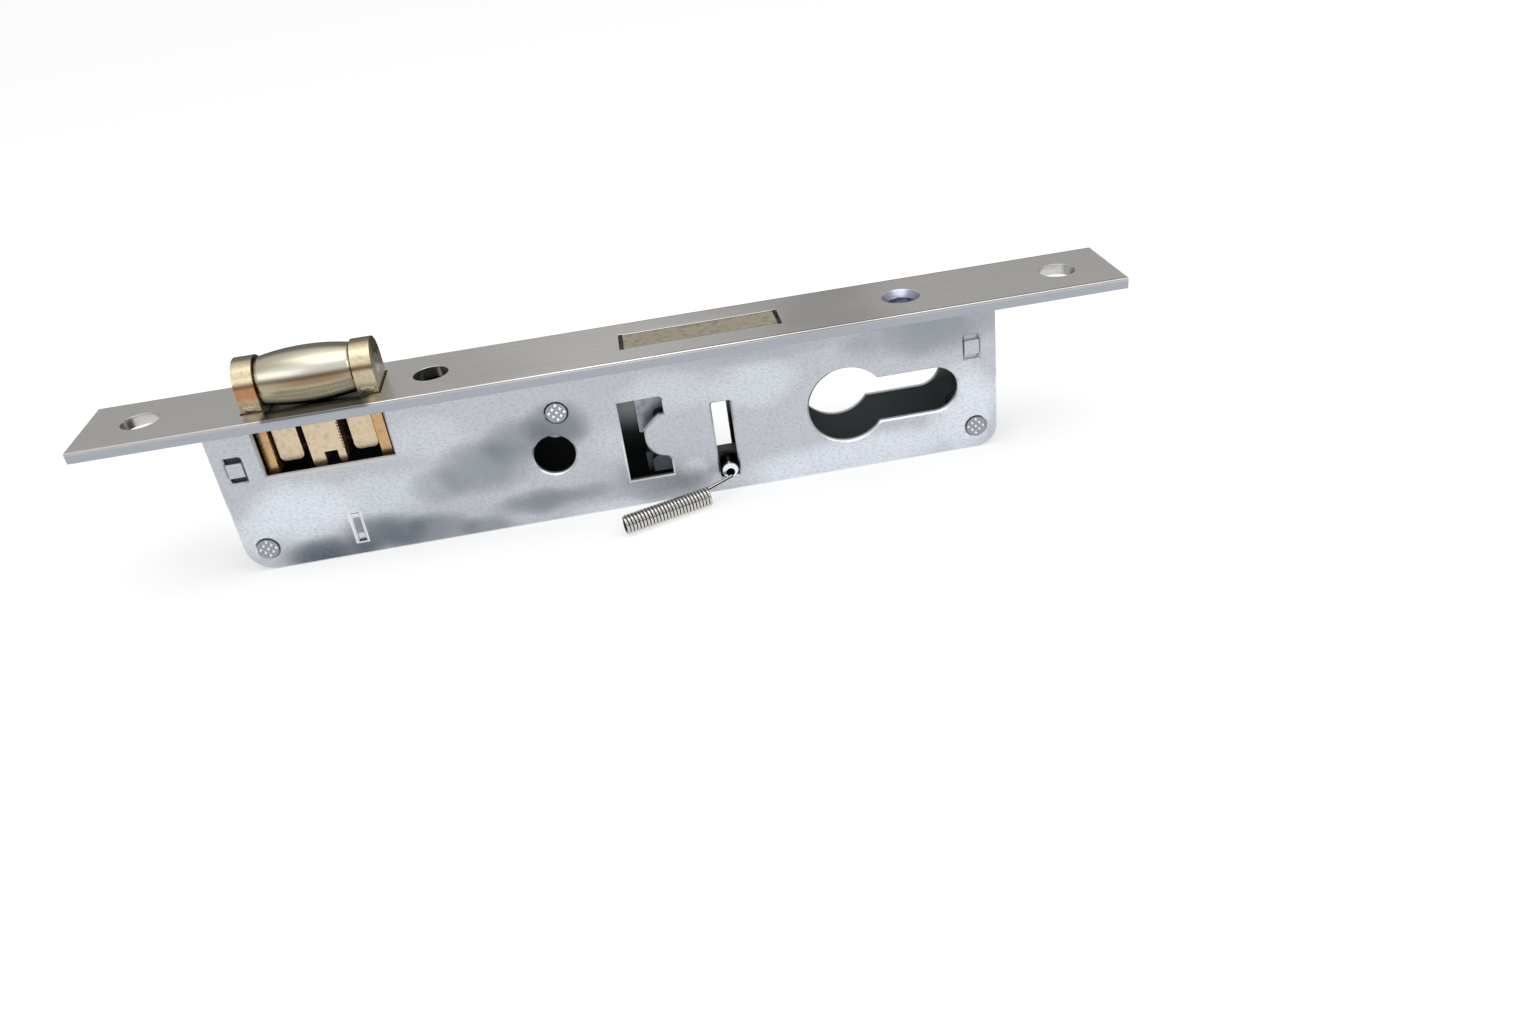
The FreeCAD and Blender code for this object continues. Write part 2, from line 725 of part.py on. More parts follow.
def build_roller():
    """Barrel-shaped roller on its axle."""
    body = new_body("latch_roller", across=f"-{LATCH}", up="axis_height")
    half = f"({EAR_INNER} - sliding)"
    bore, end = "axle_width / 2 + running", "(roller_width / 2 - roller_crown)"
    centre = f"roller_width / 2 - ({half} * {half} + roller_crown * roller_crown) / (2 * roller_crown)"
    corners = [(f"-{half}", bore), (half, bore), (half, end, "left", "y", centre), (f"-{half}", end)]
    revolve(body, "PartDesign::Revolution", "XY_Plane", "H_Axis", lambda s: outline(s, corners))


def build_head():
    """Arch-shaped deadbolt, slotted from below for its tail."""
    body = new_body("bolt_head")
    half, arch = "bolt_width / 2", f"{HEAD_LOW} + arch_rise"
    corners = [
        (HEAD_LEFT, "-bolt_sink"), (HEAD_LEFT, HEAD_LOW), (ARCH_LEFT, HEAD_LOW), (ARCH_LEFT, arch),
        (ARCH_RIGHT, arch), (ARCH_RIGHT, HEAD_LOW), (HEAD_RIGHT, HEAD_LOW), (HEAD_RIGHT, "-bolt_sink"),
    ]
    extrude(body, ADDS, "XZ_Plane", f"-{half}", half, lambda s: outline(s, corners))
    groove = "(tail_thickness / 2 + slip)"
    extrude(
        body, CUTS, "YZ_Plane", HEAD_LEFT, HEAD_RIGHT,
        lambda s: rectangle(s, f"-{groove}", groove, HEAD_LOW, f"{TAIL_TOP} + slip"),
    )
    extrude(body, CUTS, "XZ_Plane", f"-{half}", half, rivet_rings)


def rivet_rings(sketch):
    """Circles of the two rivets that hold the tail in the head."""
    for place in RIVETS.values():
        ring(sketch, place, RIVET_HEIGHT, "rivet_width + 2 * slip")


def build_tail():
    """Steel tail with the talon notch for the cylinder's cam and an open middle."""
    body = new_body("bolt_tail")
    half, left, right = "tail_thickness / 2", f"{HEAD_LEFT} + tail_inset", f"{HEAD_RIGHT} - tail_inset"
    low, shoulder = f"{FLOOR} + back_gap", f"{HEAD_LOW} + shoulder_rise"
    root, talon = f"{TAIL_REACH} - talon_depth", f"{GUIDE_HEIGHT} + talon_rise"
    corners = [
        (left, TAIL_TOP), (left, low), (TAIL_REACH, low), (TAIL_REACH, f"{talon} - talon_height"),
        (root, f"{talon} - talon_height"), (root, talon), (TAIL_REACH, talon),
        (TAIL_REACH, shoulder), (right, shoulder), (right, TAIL_TOP),
    ]
    extrude(body, ADDS, "XZ_Plane", f"-{half}", half, lambda s: outline(s, corners))
    arm, arch = f"{GUIDE_HEIGHT} + arm_rise", f"{HEAD_LOW} + arch_rise"
    room = (ARCH_LEFT, ARCH_RIGHT, arm, arch)
    extrude(body, CUTS, "XZ_Plane", f"-{half}", half, lambda s: rectangle(s, *room))

    def holes(sketch):
        rivet_rings(sketch)
        ring(sketch, GUIDE_PLACE, GUIDE_HEIGHT, "guide_tenon + 2 * slip")
        ring(sketch, PIN_PLACE, GUIDE_HEIGHT, "pin_width + 2 * slip")

    extrude(body, CUTS, "XZ_Plane", f"-{half}", half, holes)


def build_bolt_pins():
    """Rivets, guide stud and the tumbler's pin."""
    half = "bolt_width / 2"
    for label, place in RIVETS.items():
        pin(label, place, RIVET_HEIGHT, [(f"-{half}", half, "rivet_width")])
    front, back = TAIL_FRONT, "tail_thickness / 2"
    tip = f"-{OUTER} - guide_proud"
    steps = [(tip, front, "guide_width"), (front, back, "guide_tenon")]
    stud = pin("guide_pin", GUIDE_PLACE, GUIDE_HEIGHT, steps)
    eye = ("0", "-eye_offset", "eye_width")
    extrude(stud, CUTS, "XZ_Plane", tip, f"{tip} + eye_depth", lambda s: ring(s, *eye))
    pin("tumbler_pin", PIN_PLACE, GUIDE_HEIGHT, [(f"{TUMBLER_FRONT} - tumbler_gap", back, "pin_width")])


def build_tumbler():
    """Slide with two guide slots, a lug for the cam and a stump for the stepped window."""
    body = new_body("tumbler")
    low, top = f"{GUIDE_HEIGHT} - tumbler_fall", f"{GUIDE_HEIGHT} + tumbler_rise"
    right, lug = f"{TAIL_REACH} - sliding", f"{GUIDE_HEIGHT} + lug_rise"
    rim = f"{STUMP_RIGHT} + stump_rim"
    corners = [
        (TUMBLER_LEFT, low), (right, low), (right, lug), (LUG_LEFT, lug), (LUG_LEFT, top),
        (rim, top), (rim, STUMP_TOP), (TUMBLER_LEFT, STUMP_TOP),
    ]
    extrude(body, ADDS, "XZ_Plane", TUMBLER_FRONT, TUMBLER_BACK, lambda s: outline(s, corners))
    extrude(body, CUTS, "XZ_Plane", TUMBLER_FRONT, TUMBLER_BACK, tumbler_slots)
    centre = f"{STUMP_TOP} - (stump_width * stump_width / 4 + stump_round * stump_round) / (2 * stump_round)"
    shoulder = f"{STUMP_TOP} - stump_round"
    stump = [
        (STUMP_LEFT, STUMP_FOOT), (STUMP_RIGHT, STUMP_FOOT), (STUMP_RIGHT, shoulder, "left", "y", centre),
        (STUMP_LEFT, shoulder),
    ]
    extrude(body, ADDS, "XZ_Plane", f"-{INNER} + stump_gap", TUMBLER_FRONT, lambda s: outline(s, stump))


def tumbler_slots(sketch):
    """Slot for the stud and the return spring, and slot for the tumbler's pin."""
    half = "(guide_width / 2 + running)"
    low, high = f"{GUIDE_HEIGHT} - {half}", f"{GUIDE_HEIGHT} + {half}"
    outline(
        sketch,
        [
            (GUIDE_PLACE, low), (LUG_LEFT, low), (LUG_LEFT, high),
            (GUIDE_PLACE, high, "left", "x", GUIDE_PLACE),
        ],
    )
    level_slot(sketch, PIN_PLACE, f"{PIN_PLACE} + tumbler_travel", GUIDE_HEIGHT, "pin_width + 2 * running")


def coil_spring(label, start, direction, length, width, wire, turns):
    """Open coil of square wire, from a start point along a direction."""
    radius, thick = (worked(width) - worked(wire)) / 2, worked(wire)
    reach = worked(length) - thick
    helix = Part.makeHelix(reach / worked(turns), reach, radius)
    half = thick / 2
    corners = [(radius - half, -half), (radius + half, -half), (radius + half, half), (radius - half, half)]
    section = Part.makePolygon([FreeCAD.Vector(out, 0, up) for out, up in corners + corners[:1]])
    spring = doc.addObject("Part::Feature", label)
    spring.Label = label
    spring.Shape = Part.Wire(helix).makePipeShell([section], True, True)
    turn = FreeCAD.Rotation(FreeCAD.Vector(0, 0, 1), direction)
    spring.Placement = FreeCAD.Placement(start + direction * half, turn)
    nodes.append(spring)


def build_springs():
    """Two latch springs and the tumbler's return spring."""
    up, along = FreeCAD.Vector(0, 0, 1), FreeCAD.Vector(1, 0, 0)
    spot = f"(({PILLAR_INNER} + {PILLAR_OUTER}) / 2)"
    width, length = f"{POCKET} - 2 * sliding", f"-spring_top - {SEAT_TOP}"
    for label, side in (("latch_spring_left", "-"), ("latch_spring_right", "+")):
        start = FreeCAD.Vector(worked(f"-{LATCH} {side} {spot}"), 0, worked(SEAT_TOP))
        coil_spring(label, start, up, length, width, "spring_wire", "spring_turns")
    middle = worked(f"({TUMBLER_FRONT} + {TUMBLER_BACK}) / 2")
    start = FreeCAD.Vector(worked(f"{GUIDE_PLACE} + guide_width / 2"), middle, worked(GUIDE_HEIGHT))
    length = f"{LUG_LEFT} - {GUIDE_PLACE} - guide_width / 2"
    sizes = ("return_spring_width", "return_spring_wire", "return_spring_turns")
    coil_spring("tumbler_spring", start, along, length, *sizes)


def build_extension_spring():
    """Wound spring that lies beside the case, with its leg hooked into the guide stud's eye."""
    wire, width = worked("coil_wire"), worked("coil_width")
    pitch, turns = worked("coil_pitch"), round(worked("coil_turns"))
    inside, root, crest = width / 2 - wire, width / 2 - wire / 2, width / 2
    profile = [(0, inside), (0, root)]
    for turn in range(turns):
        profile += [((turn + 1 / 2) * pitch, crest), ((turn + 1) * pitch, root)]
    profile.append((turns * pitch, inside))
    points = [FreeCAD.Vector(along, 0, out) for along, out in profile]
    face = Part.Face(Part.makePolygon(points + points[:1]))
    coil = face.revolve(FreeCAD.Vector(0, 0, 0), FreeCAD.Vector(1, 0, 0), FULL_TURN)
    place = worked(f"{GUIDE_PLACE} - coil_end_gap")
    end = FreeCAD.Vector(place, -worked("coil_end_stand"), width / 2 - worked("case_depth"))
    turn = FreeCAD.Rotation(FreeCAD.Vector(0, 0, 1), HALF_TURN + worked("coil_angle"))
    coil.Placement = FreeCAD.Placement(end, turn)
    rim = worked(f"{GUIDE_HEIGHT} - eye_offset - eye_width / 2 + slip")
    eye = FreeCAD.Vector(worked(GUIDE_PLACE), worked(f"-{OUTER} - guide_proud") - wire, rim + wire / 2)
    leave = end + FreeCAD.Vector(0, 0, width / 2 - wire / 2)
    leg = rod(leave, eye, wire)
    hook = rod(eye, eye + FreeCAD.Vector(0, worked("hook_depth") + wire, 0), wire)
    spring = doc.addObject("Part::Feature", "extension_spring")
    spring.Label = "extension_spring"
    spring.Shape = coil.fuse([leg, hook, Part.makeSphere(wire / 2, eye)]).removeSplitter()
    nodes.append(spring)


def rod(start, end, width):
    """Straight round wire between two points."""
    along = end - start
    return Part.makeCylinder(width / 2, along.Length, start, along)


def export_nodes():
    """Checks every object and sub-part, then writes each sub-part's shape."""
    doc.recompute()
    for item in doc.Objects:
        if "Invalid" in item.State or "Error" in item.State:
            raise RuntimeError(f"{item.Name} failed: {item.State}")
    os.makedirs("parts", exist_ok=True)
    for node in nodes:
        if node.Shape.isNull() or not node.Shape.isValid() or node.Shape.Volume <= 0:
            raise RuntimeError(f"{node.Label} has no valid shape")
        if len(node.Shape.Solids) != 1:
            raise RuntimeError(f"{node.Label} has {len(node.Shape.Solids)} solids")
    for node in nodes:
        node.Shape.exportStep(f"parts/{node.Label}.step")
        print(node.Label, round(node.Shape.Volume, 1), "cubic millimetres")


fill_sheet()
build_forend()
build_cover()
build_tray()
for bracket, place in BRACKETS.items():
    build_bracket(bracket, place)
build_posts()
build_seat()
build_fork()
build_axle()
build_roller()
build_head()
build_tail()
build_bolt_pins()
build_tumbler()
build_springs()
build_extension_spring()
export_nodes()
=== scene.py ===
"""Dresses a narrow mortise lock with a roller latch in its finishes, with painted light and shade on many of
them, and its fine detail.
"""

import logging
import math
from dataclasses import dataclass
from enum import Enum
from functools import cached_property
from typing import Iterable, Protocol, Sequence, Union

import bmesh
import bpy
from mathutils import Matrix, Vector, geometry


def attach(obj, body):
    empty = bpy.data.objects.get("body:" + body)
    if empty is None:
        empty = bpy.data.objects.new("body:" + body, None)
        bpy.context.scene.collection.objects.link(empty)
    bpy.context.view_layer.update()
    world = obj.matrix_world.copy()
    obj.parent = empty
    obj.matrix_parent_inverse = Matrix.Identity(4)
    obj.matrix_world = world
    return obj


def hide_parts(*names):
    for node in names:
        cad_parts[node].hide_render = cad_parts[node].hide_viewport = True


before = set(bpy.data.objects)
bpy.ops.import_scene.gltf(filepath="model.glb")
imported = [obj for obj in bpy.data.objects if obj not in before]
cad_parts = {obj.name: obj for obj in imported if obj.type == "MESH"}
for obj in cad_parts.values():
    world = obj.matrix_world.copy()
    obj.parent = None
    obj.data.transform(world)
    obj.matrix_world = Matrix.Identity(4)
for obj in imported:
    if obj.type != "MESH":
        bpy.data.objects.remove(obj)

LOG = logging.getLogger("mortise_lock")
MM = 0.001
FULL_TURN = 2 * math.pi
MERGE_REACH = 2e-6
WELD_REACH = 1e-6
FLAT_ANGLE = 1.0
MIX_SHARE, MIX_FIRST, MIX_SECOND, MIX_RESULT = 0, 6, 7, 2
Triple = tuple[float, float, float]
Colour = Triple
Ends = tuple[float, float]
Operand = Union["Wire", float]
Tone = Union["Wire", Colour]
EVEN: Triple = (1.0, 1.0, 1.0)
WHITE: Colour = (1.0, 1.0, 1.0)


class Body(Enum):
    """Names of the bodies that the pieces ride on."""

    CASE = "case"
    LATCH = "latch"
    ROLLER = "roller"
    DEADBOLT = "deadbolt"
    HANGING_SPRING = "hanging_spring"


class Way(Enum):
    """The three axes of the lock's own frame."""

    ALONG = Vector((1.0, 0.0, 0.0))
    ACROSS = Vector((0.0, 1.0, 0.0))
    UP = Vector((0.0, 0.0, 1.0))


def opaque(colour: Colour) -> tuple[float, float, float, float]:
    """The colour with full alpha."""
    return (*colour, 1.0)


def shaded(colour: Colour, share: float) -> Colour:
    """The colour made darker or lighter by a share."""
    return tuple(part * share for part in colour)


class Wire:
    """An output of a material's node, on which Python's operators add Math nodes."""

    def __init__(self, tree: "Tree", socket: bpy.types.NodeSocket) -> None:
        """Keeps the tree and the socket.

        Args:
            tree: The material's tree.
            socket: The node output that this object stands for.
        """
        self.tree = tree
        self.socket = socket

    def worked(self, operation: str, *values: Operand) -> "Wire":
        """Adds a Math node.

        Args:
            operation: The Math node's operation.
            values: Its inputs, in order.

        Returns:
            The node's result.
        """
        return self.tree.node("ShaderNodeMath", {"operation": operation}, dict(enumerate(values)))

    def __add__(self, other: Operand) -> "Wire":
        """This plus other."""
        return self.worked("ADD", self, other)

    __radd__ = __add__

    def __mul__(self, other: Operand) -> "Wire":
        """This times other."""
        return self.worked("MULTIPLY", self, other)

    __rmul__ = __mul__

    def __sub__(self, other: Operand) -> "Wire":
        """This less other."""
        return self.worked("SUBTRACT", self, other)

    def __rsub__(self, other: Operand) -> "Wire":
        """Other less this."""
        return self.worked("SUBTRACT", other, self)

    def __truediv__(self, other: Operand) -> "Wire":
        """This over other."""
        return self.worked("DIVIDE", self, other)

    def __pow__(self, other: Operand) -> "Wire":
        """This to the power of other."""
        return self.worked("POWER", self, other)

    def __abs__(self) -> "Wire":
        """This without its sign."""
        return self.worked("ABSOLUTE", self)

    def __neg__(self) -> "Wire":
        """This with its sign turned."""
        return self * -1.0

    def within(self, low: float, high: float) -> "Wire":
        """Goes smoothly from 0 at low to 1 at high."""
        inputs = {"Value": self, "From Min": low, "From Max": high}
        return self.tree.node("ShaderNodeMapRange", {"interpolation_type": "SMOOTHSTEP"}, inputs)

    def between(self, rise: Ends, fall: Ends) -> "Wire":
        """Goes smoothly from 0 to 1 over the rise and back to 0 over the fall."""
        return self.within(*rise) * (1.0 - self.within(*fall))


@dataclass(frozen=True)
class Noise:
    """Soft noise: a blotch's size in millimetres, its fineness along each axis and its layers."""

    size: float
    stretch: Triple = EVEN
    detail: float = 3.0


@dataclass(frozen=True)
class Band:
    """A soft band of a coordinate: its middle, how far it is full, where it ends, and its depth."""

    middle: float
    full: float
    none: float
    depth: float = 1.0

    def on(self, value: Wire) -> Wire:
        """The band's depth round its middle, going smoothly to 0 at its ends."""
        return (1.0 - abs(value - self.middle).within(self.full, self.none)) * self.depth


@dataclass(frozen=True)
class Patch:
    """A soft patch on the case's side: its middle and half its size in millimetres, and its depth."""

    along: float
    up: float
    width: float
    height: float
    depth: float


@dataclass(frozen=True)
class Scratches:
    """Straight fine scratches: pitch in millimetres, slope, width as a share of the pitch, and gaps."""

    pitch: float
    slope: float
    width: float
    shown: Ends
    gaps: Noise = Noise(7.0, (1.0, 3.0, 3.0), 1.0)


class Tree:
    """The node tree of one material."""

    def __init__(self, name: str) -> None:
        """Starts a material.

        Args:
            name: The material's name.
        """
        self.material = bpy.data.materials.new(name)
        self.material.use_nodes = True
        self.shader = self.material.node_tree.nodes["Principled BSDF"]

    def join(self, value: object, socket: bpy.types.NodeSocket) -> None:
        """Links a wire to a socket, or sets the socket's own value."""
        if isinstance(value, Wire):
            self.material.node_tree.links.new(value.socket, socket)
        else:
            socket.default_value = value

    def node(
        self,
        kind: str,
        settings: dict | None = None,
        inputs: dict | None = None,
        output: int | str = 0,
    ) -> Wire:
        """Adds a node.

        Args:
            kind: The node's type.
            settings: Its settings, set before anything is joined.
            inputs: Values or wires, by the name or number of the socket.
            output: Name or number of the output that is wanted.

        Returns:
            That output.
        """
        made = self.material.node_tree.nodes.new(kind)
        for name, value in (settings or {}).items():
            setattr(made, name, value)
        for key, value in (inputs or {}).items():
            self.join(value, made.inputs[key])
        return Wire(self, made.outputs[output])

    @cached_property
    def spot(self) -> Wire:
        """Object coordinates in metres."""
        return self.node("ShaderNodeTexCoord", output="Object")

    @cached_property
    def along(self) -> Wire:
        """Place along the lock in millimetres."""
        return self.axis("X")

    @cached_property
    def across(self) -> Wire:
        """Place across the lock in millimetres, below 0 on the near side."""
        return self.axis("Y")

    @cached_property
    def up(self) -> Wire:
        """Height in millimetres, 0 at the strip's face."""
        return self.axis("Z")

    @cached_property
    def wander(self) -> Wire:
        """Noise about 0 that moves the edges of patches."""
        return self.noise(Noise(9.0)) - 0.5

    def axis(self, letter: str) -> Wire:
        """One of the object coordinates, in millimetres."""
        return self.node("ShaderNodeSeparateXYZ", inputs={"Vector": self.spot}, output=letter) * (1 / MM)

    def noise(self, kind: Noise) -> Wire:
        """The noise's value, between 0 and 1."""
        spot = self.node("ShaderNodeMapping", inputs={"Vector": self.spot, "Scale": kind.stretch})
        inputs = {"Vector": spot, "Scale": 1 / (kind.size * MM), "Detail": kind.detail}
        return self.node("ShaderNodeTexNoise", inputs=inputs)

    def scratched(self, kind: Scratches) -> Wire:
        """1 on a scratch and 0 beside it."""
        height = (self.up + self.across + self.along * kind.slope) / kind.pitch
        beside = height.worked("PINGPONG", height, 0.5)
        return (1.0 - beside.within(0.0, kind.width)) * self.noise(kind.gaps).within(*kind.shown)

    def patch(self, place: Patch, ragged: float = 0.0) -> Wire:
        """1 in a patch's middle and 0 outside it, with an edge that noise moves as far as ragged."""
        beside, above = (self.along - place.along) / place.width, (self.up - place.up) / place.height
        return 1.0 - (beside**2.0 + above**2.0 + self.wander * ragged).within(0.0, 1.0)

    def around(self, height: float) -> tuple[Wire, Wire]:
        """How far a surface turned about an axis along the lock looks forward and up.

        Args:
            height: The axis's height in millimetres.

        Returns:
            The forward and the upward share, each from -1 to 1.
        """
        out, over = self.across, self.up - height
        reach = (out * out + over * over) ** 0.5
        return -out / reach, over / reach

    def blend(self, share: Operand, first: Tone, second: Tone) -> Wire:
        """A colour that goes from first to second with a share."""
        first, second = (opaque(tone) if isinstance(tone, tuple) else tone for tone in (first, second))
        inputs = {MIX_SHARE: share, MIX_FIRST: first, MIX_SECOND: second}
        return self.node("ShaderNodeMix", {"data_type": "RGBA"}, inputs, output=MIX_RESULT)

    def finish(self, values: dict[str, object]) -> bpy.types.Material:
        """Sets the shader's values or joins wires to them, by the names of its sockets."""
        for name, value in values.items():
            self.join(value, self.shader.inputs[name])
        return self.material

    def surface(
        self, colour: Wire, roughness: Wire, relief: Wire, depth: float, metal: Operand = 1.0
    ) -> bpy.types.Material:
        """Joins what varies over a metal surface.

        Args:
            colour: Its colour.
            roughness: Its roughness.
            relief: Height of its fine relief.
            depth: The relief's depth in millimetres.
            metal: How much of a metal it is.

        Returns:
            The material.
        """
        normal = self.node("ShaderNodeBump", inputs={"Height": relief, "Distance": depth * MM})
        values = {"Base Color": colour, "Roughness": roughness, "Metallic": metal, "Normal": normal}
        return self.finish(values)


class Finish(Protocol):
    """What every finish has."""

    name: str

    def make(self) -> bpy.types.Material:
        """Builds the material."""


@dataclass(frozen=True)
class Polished:
    """Plated steel strip: polished face with faint warm and green tones, lighter and darker zones along it as
    painted reflections, bluish grey painted shade on the side faces and a painted shadow under the roller.
    """

    name: str = "forend_nickel"
    colour: Colour = (0.64, 0.625, 0.61)
    warm: Colour = (0.655, 0.62, 0.61)
    green: Colour = (0.615, 0.62, 0.585)
    # Bluish grey of the painted shade on the side faces, also the base of the dark line along the front.
    side: Colour = (0.40, 0.425, 0.47)
    cone: Colour = (0.34, 0.36, 0.50)
    # Nearly black colour of the painted shadow under the roller.
    shade: Colour = (0.02, 0.018, 0.012)
    grain: Noise = Noise(6.0, (0.12, 6.0, 6.0), 5.0)
    grain_seen: Ends = (0.35, 0.8)
    grain_depth: float = 0.3
    tone: Noise = Noise(28.0, (1.0, 2.0, 1.0))
    tone_seen: Ends = (0.35, 0.7)
    # Painted reflections: a lighter and a darker zone along the polished face.
    highlight_zone: Band = Band(0.0, 3.4, 34.0, 0.8)
    highlight_wander: float = 30.0
    dark_reflection_zone: Band = Band(47.0, 1.7, 17.0, 0.9)
    dark_reflection_wander: float = 20.0
    cone_place: float = 63.1
    cone_zone: Band = Band(0.0, 3.9, 4.25, 0.9)
    scratches: Scratches = Scratches(2.9, 0.004, 0.02, (0.65, 0.77))
    scratch_depth: float = 0.3
    line_zone: Band = Band(10.5, 0.08, 0.3, 0.7)
    line_seen: Ends = (-20.0, 25.0)
    # Where the painted shadow of the roller lies on the strip, and its lighter edge.
    shade_rise: Ends = (-72.2, -71.0)
    shade_fall: Ends = (-51.0, -49.0)
    shade_start: Ends = (5.5, 6.0)
    shade_margin: Ends = (7.4, 8.6)
    # Where the side faces' painted shade lies.
    under_face: Ends = (0.25, 0.75)
    side_face: Ends = (10.6, 10.9)
    highlight_share: float = 1.28
    dark_reflection_share: float = 0.72
    grain_share: float = 0.7
    scratch_share: float = 1.4
    line_share: float = 0.15
    shadow_edge_share: float = 0.28
    least_rough: float = 0.18
    rough_grain: float = 0.14
    rough_tone: float = 0.06
    scratch_relief: float = 0.4
    relief_depth: float = 0.004

    def make(self) -> bpy.types.Material:
        """Builds the material."""
        tree = Tree(self.name)
        grain, tone = tree.noise(self.grain), tree.noise(self.tone)
        colour = tree.blend(tone.within(*self.tone_seen), self.warm, self.green)
        colour = tree.blend(0.5, self.colour, colour)
        # Painted reflection: a lighter zone and a darker zone along the face, moved by the tone noise.
        light = self.highlight_zone.on(tree.along + (tone - 0.5) * self.highlight_wander)
        colour = tree.blend(light, colour, shaded(self.colour, self.highlight_share))
        dark = self.dark_reflection_zone.on(tree.along + (tone - 0.5) * self.dark_reflection_wander)
        colour = tree.blend(dark, colour, shaded(self.colour, self.dark_reflection_share))
        reach = ((tree.along - self.cone_place) ** 2.0 + tree.across**2.0) ** 0.5
        colour = tree.blend(self.cone_zone.on(reach), colour, self.cone)
        grained = grain.within(*self.grain_seen) * self.grain_depth
        colour = tree.blend(grained, colour, shaded(self.colour, self.grain_share))
        scratch = tree.scratched(self.scratches)
        colour = tree.blend(scratch * self.scratch_depth, colour, shaded(self.colour, self.scratch_share))
        out = abs(tree.across)
        line = self.line_zone.on(out) * tree.along.within(*self.line_seen)
        colour = tree.blend(line, colour, shaded(self.side, self.line_share))
        # Painted shadow of the roller on the strip beneath it, lighter towards the front edge.
        below = tree.along.between(self.shade_rise, self.shade_fall)
        below = below * (-tree.across).within(*self.shade_start)
        margin = shaded(self.colour, self.shadow_edge_share)
        shade = tree.blend(out.within(*self.shade_margin), self.shade, margin)
        colour = tree.blend(below, colour, shade)
        # Painted shade: the side faces are bluish grey.
        under = (-tree.up).within(*self.under_face) * out.within(*self.side_face)
        colour = tree.blend(under, colour, self.side)
        rough = grain * self.rough_grain + tone * self.rough_tone + self.least_rough
        return tree.surface(colour, rough, grain + scratch * self.scratch_relief, self.relief_depth)


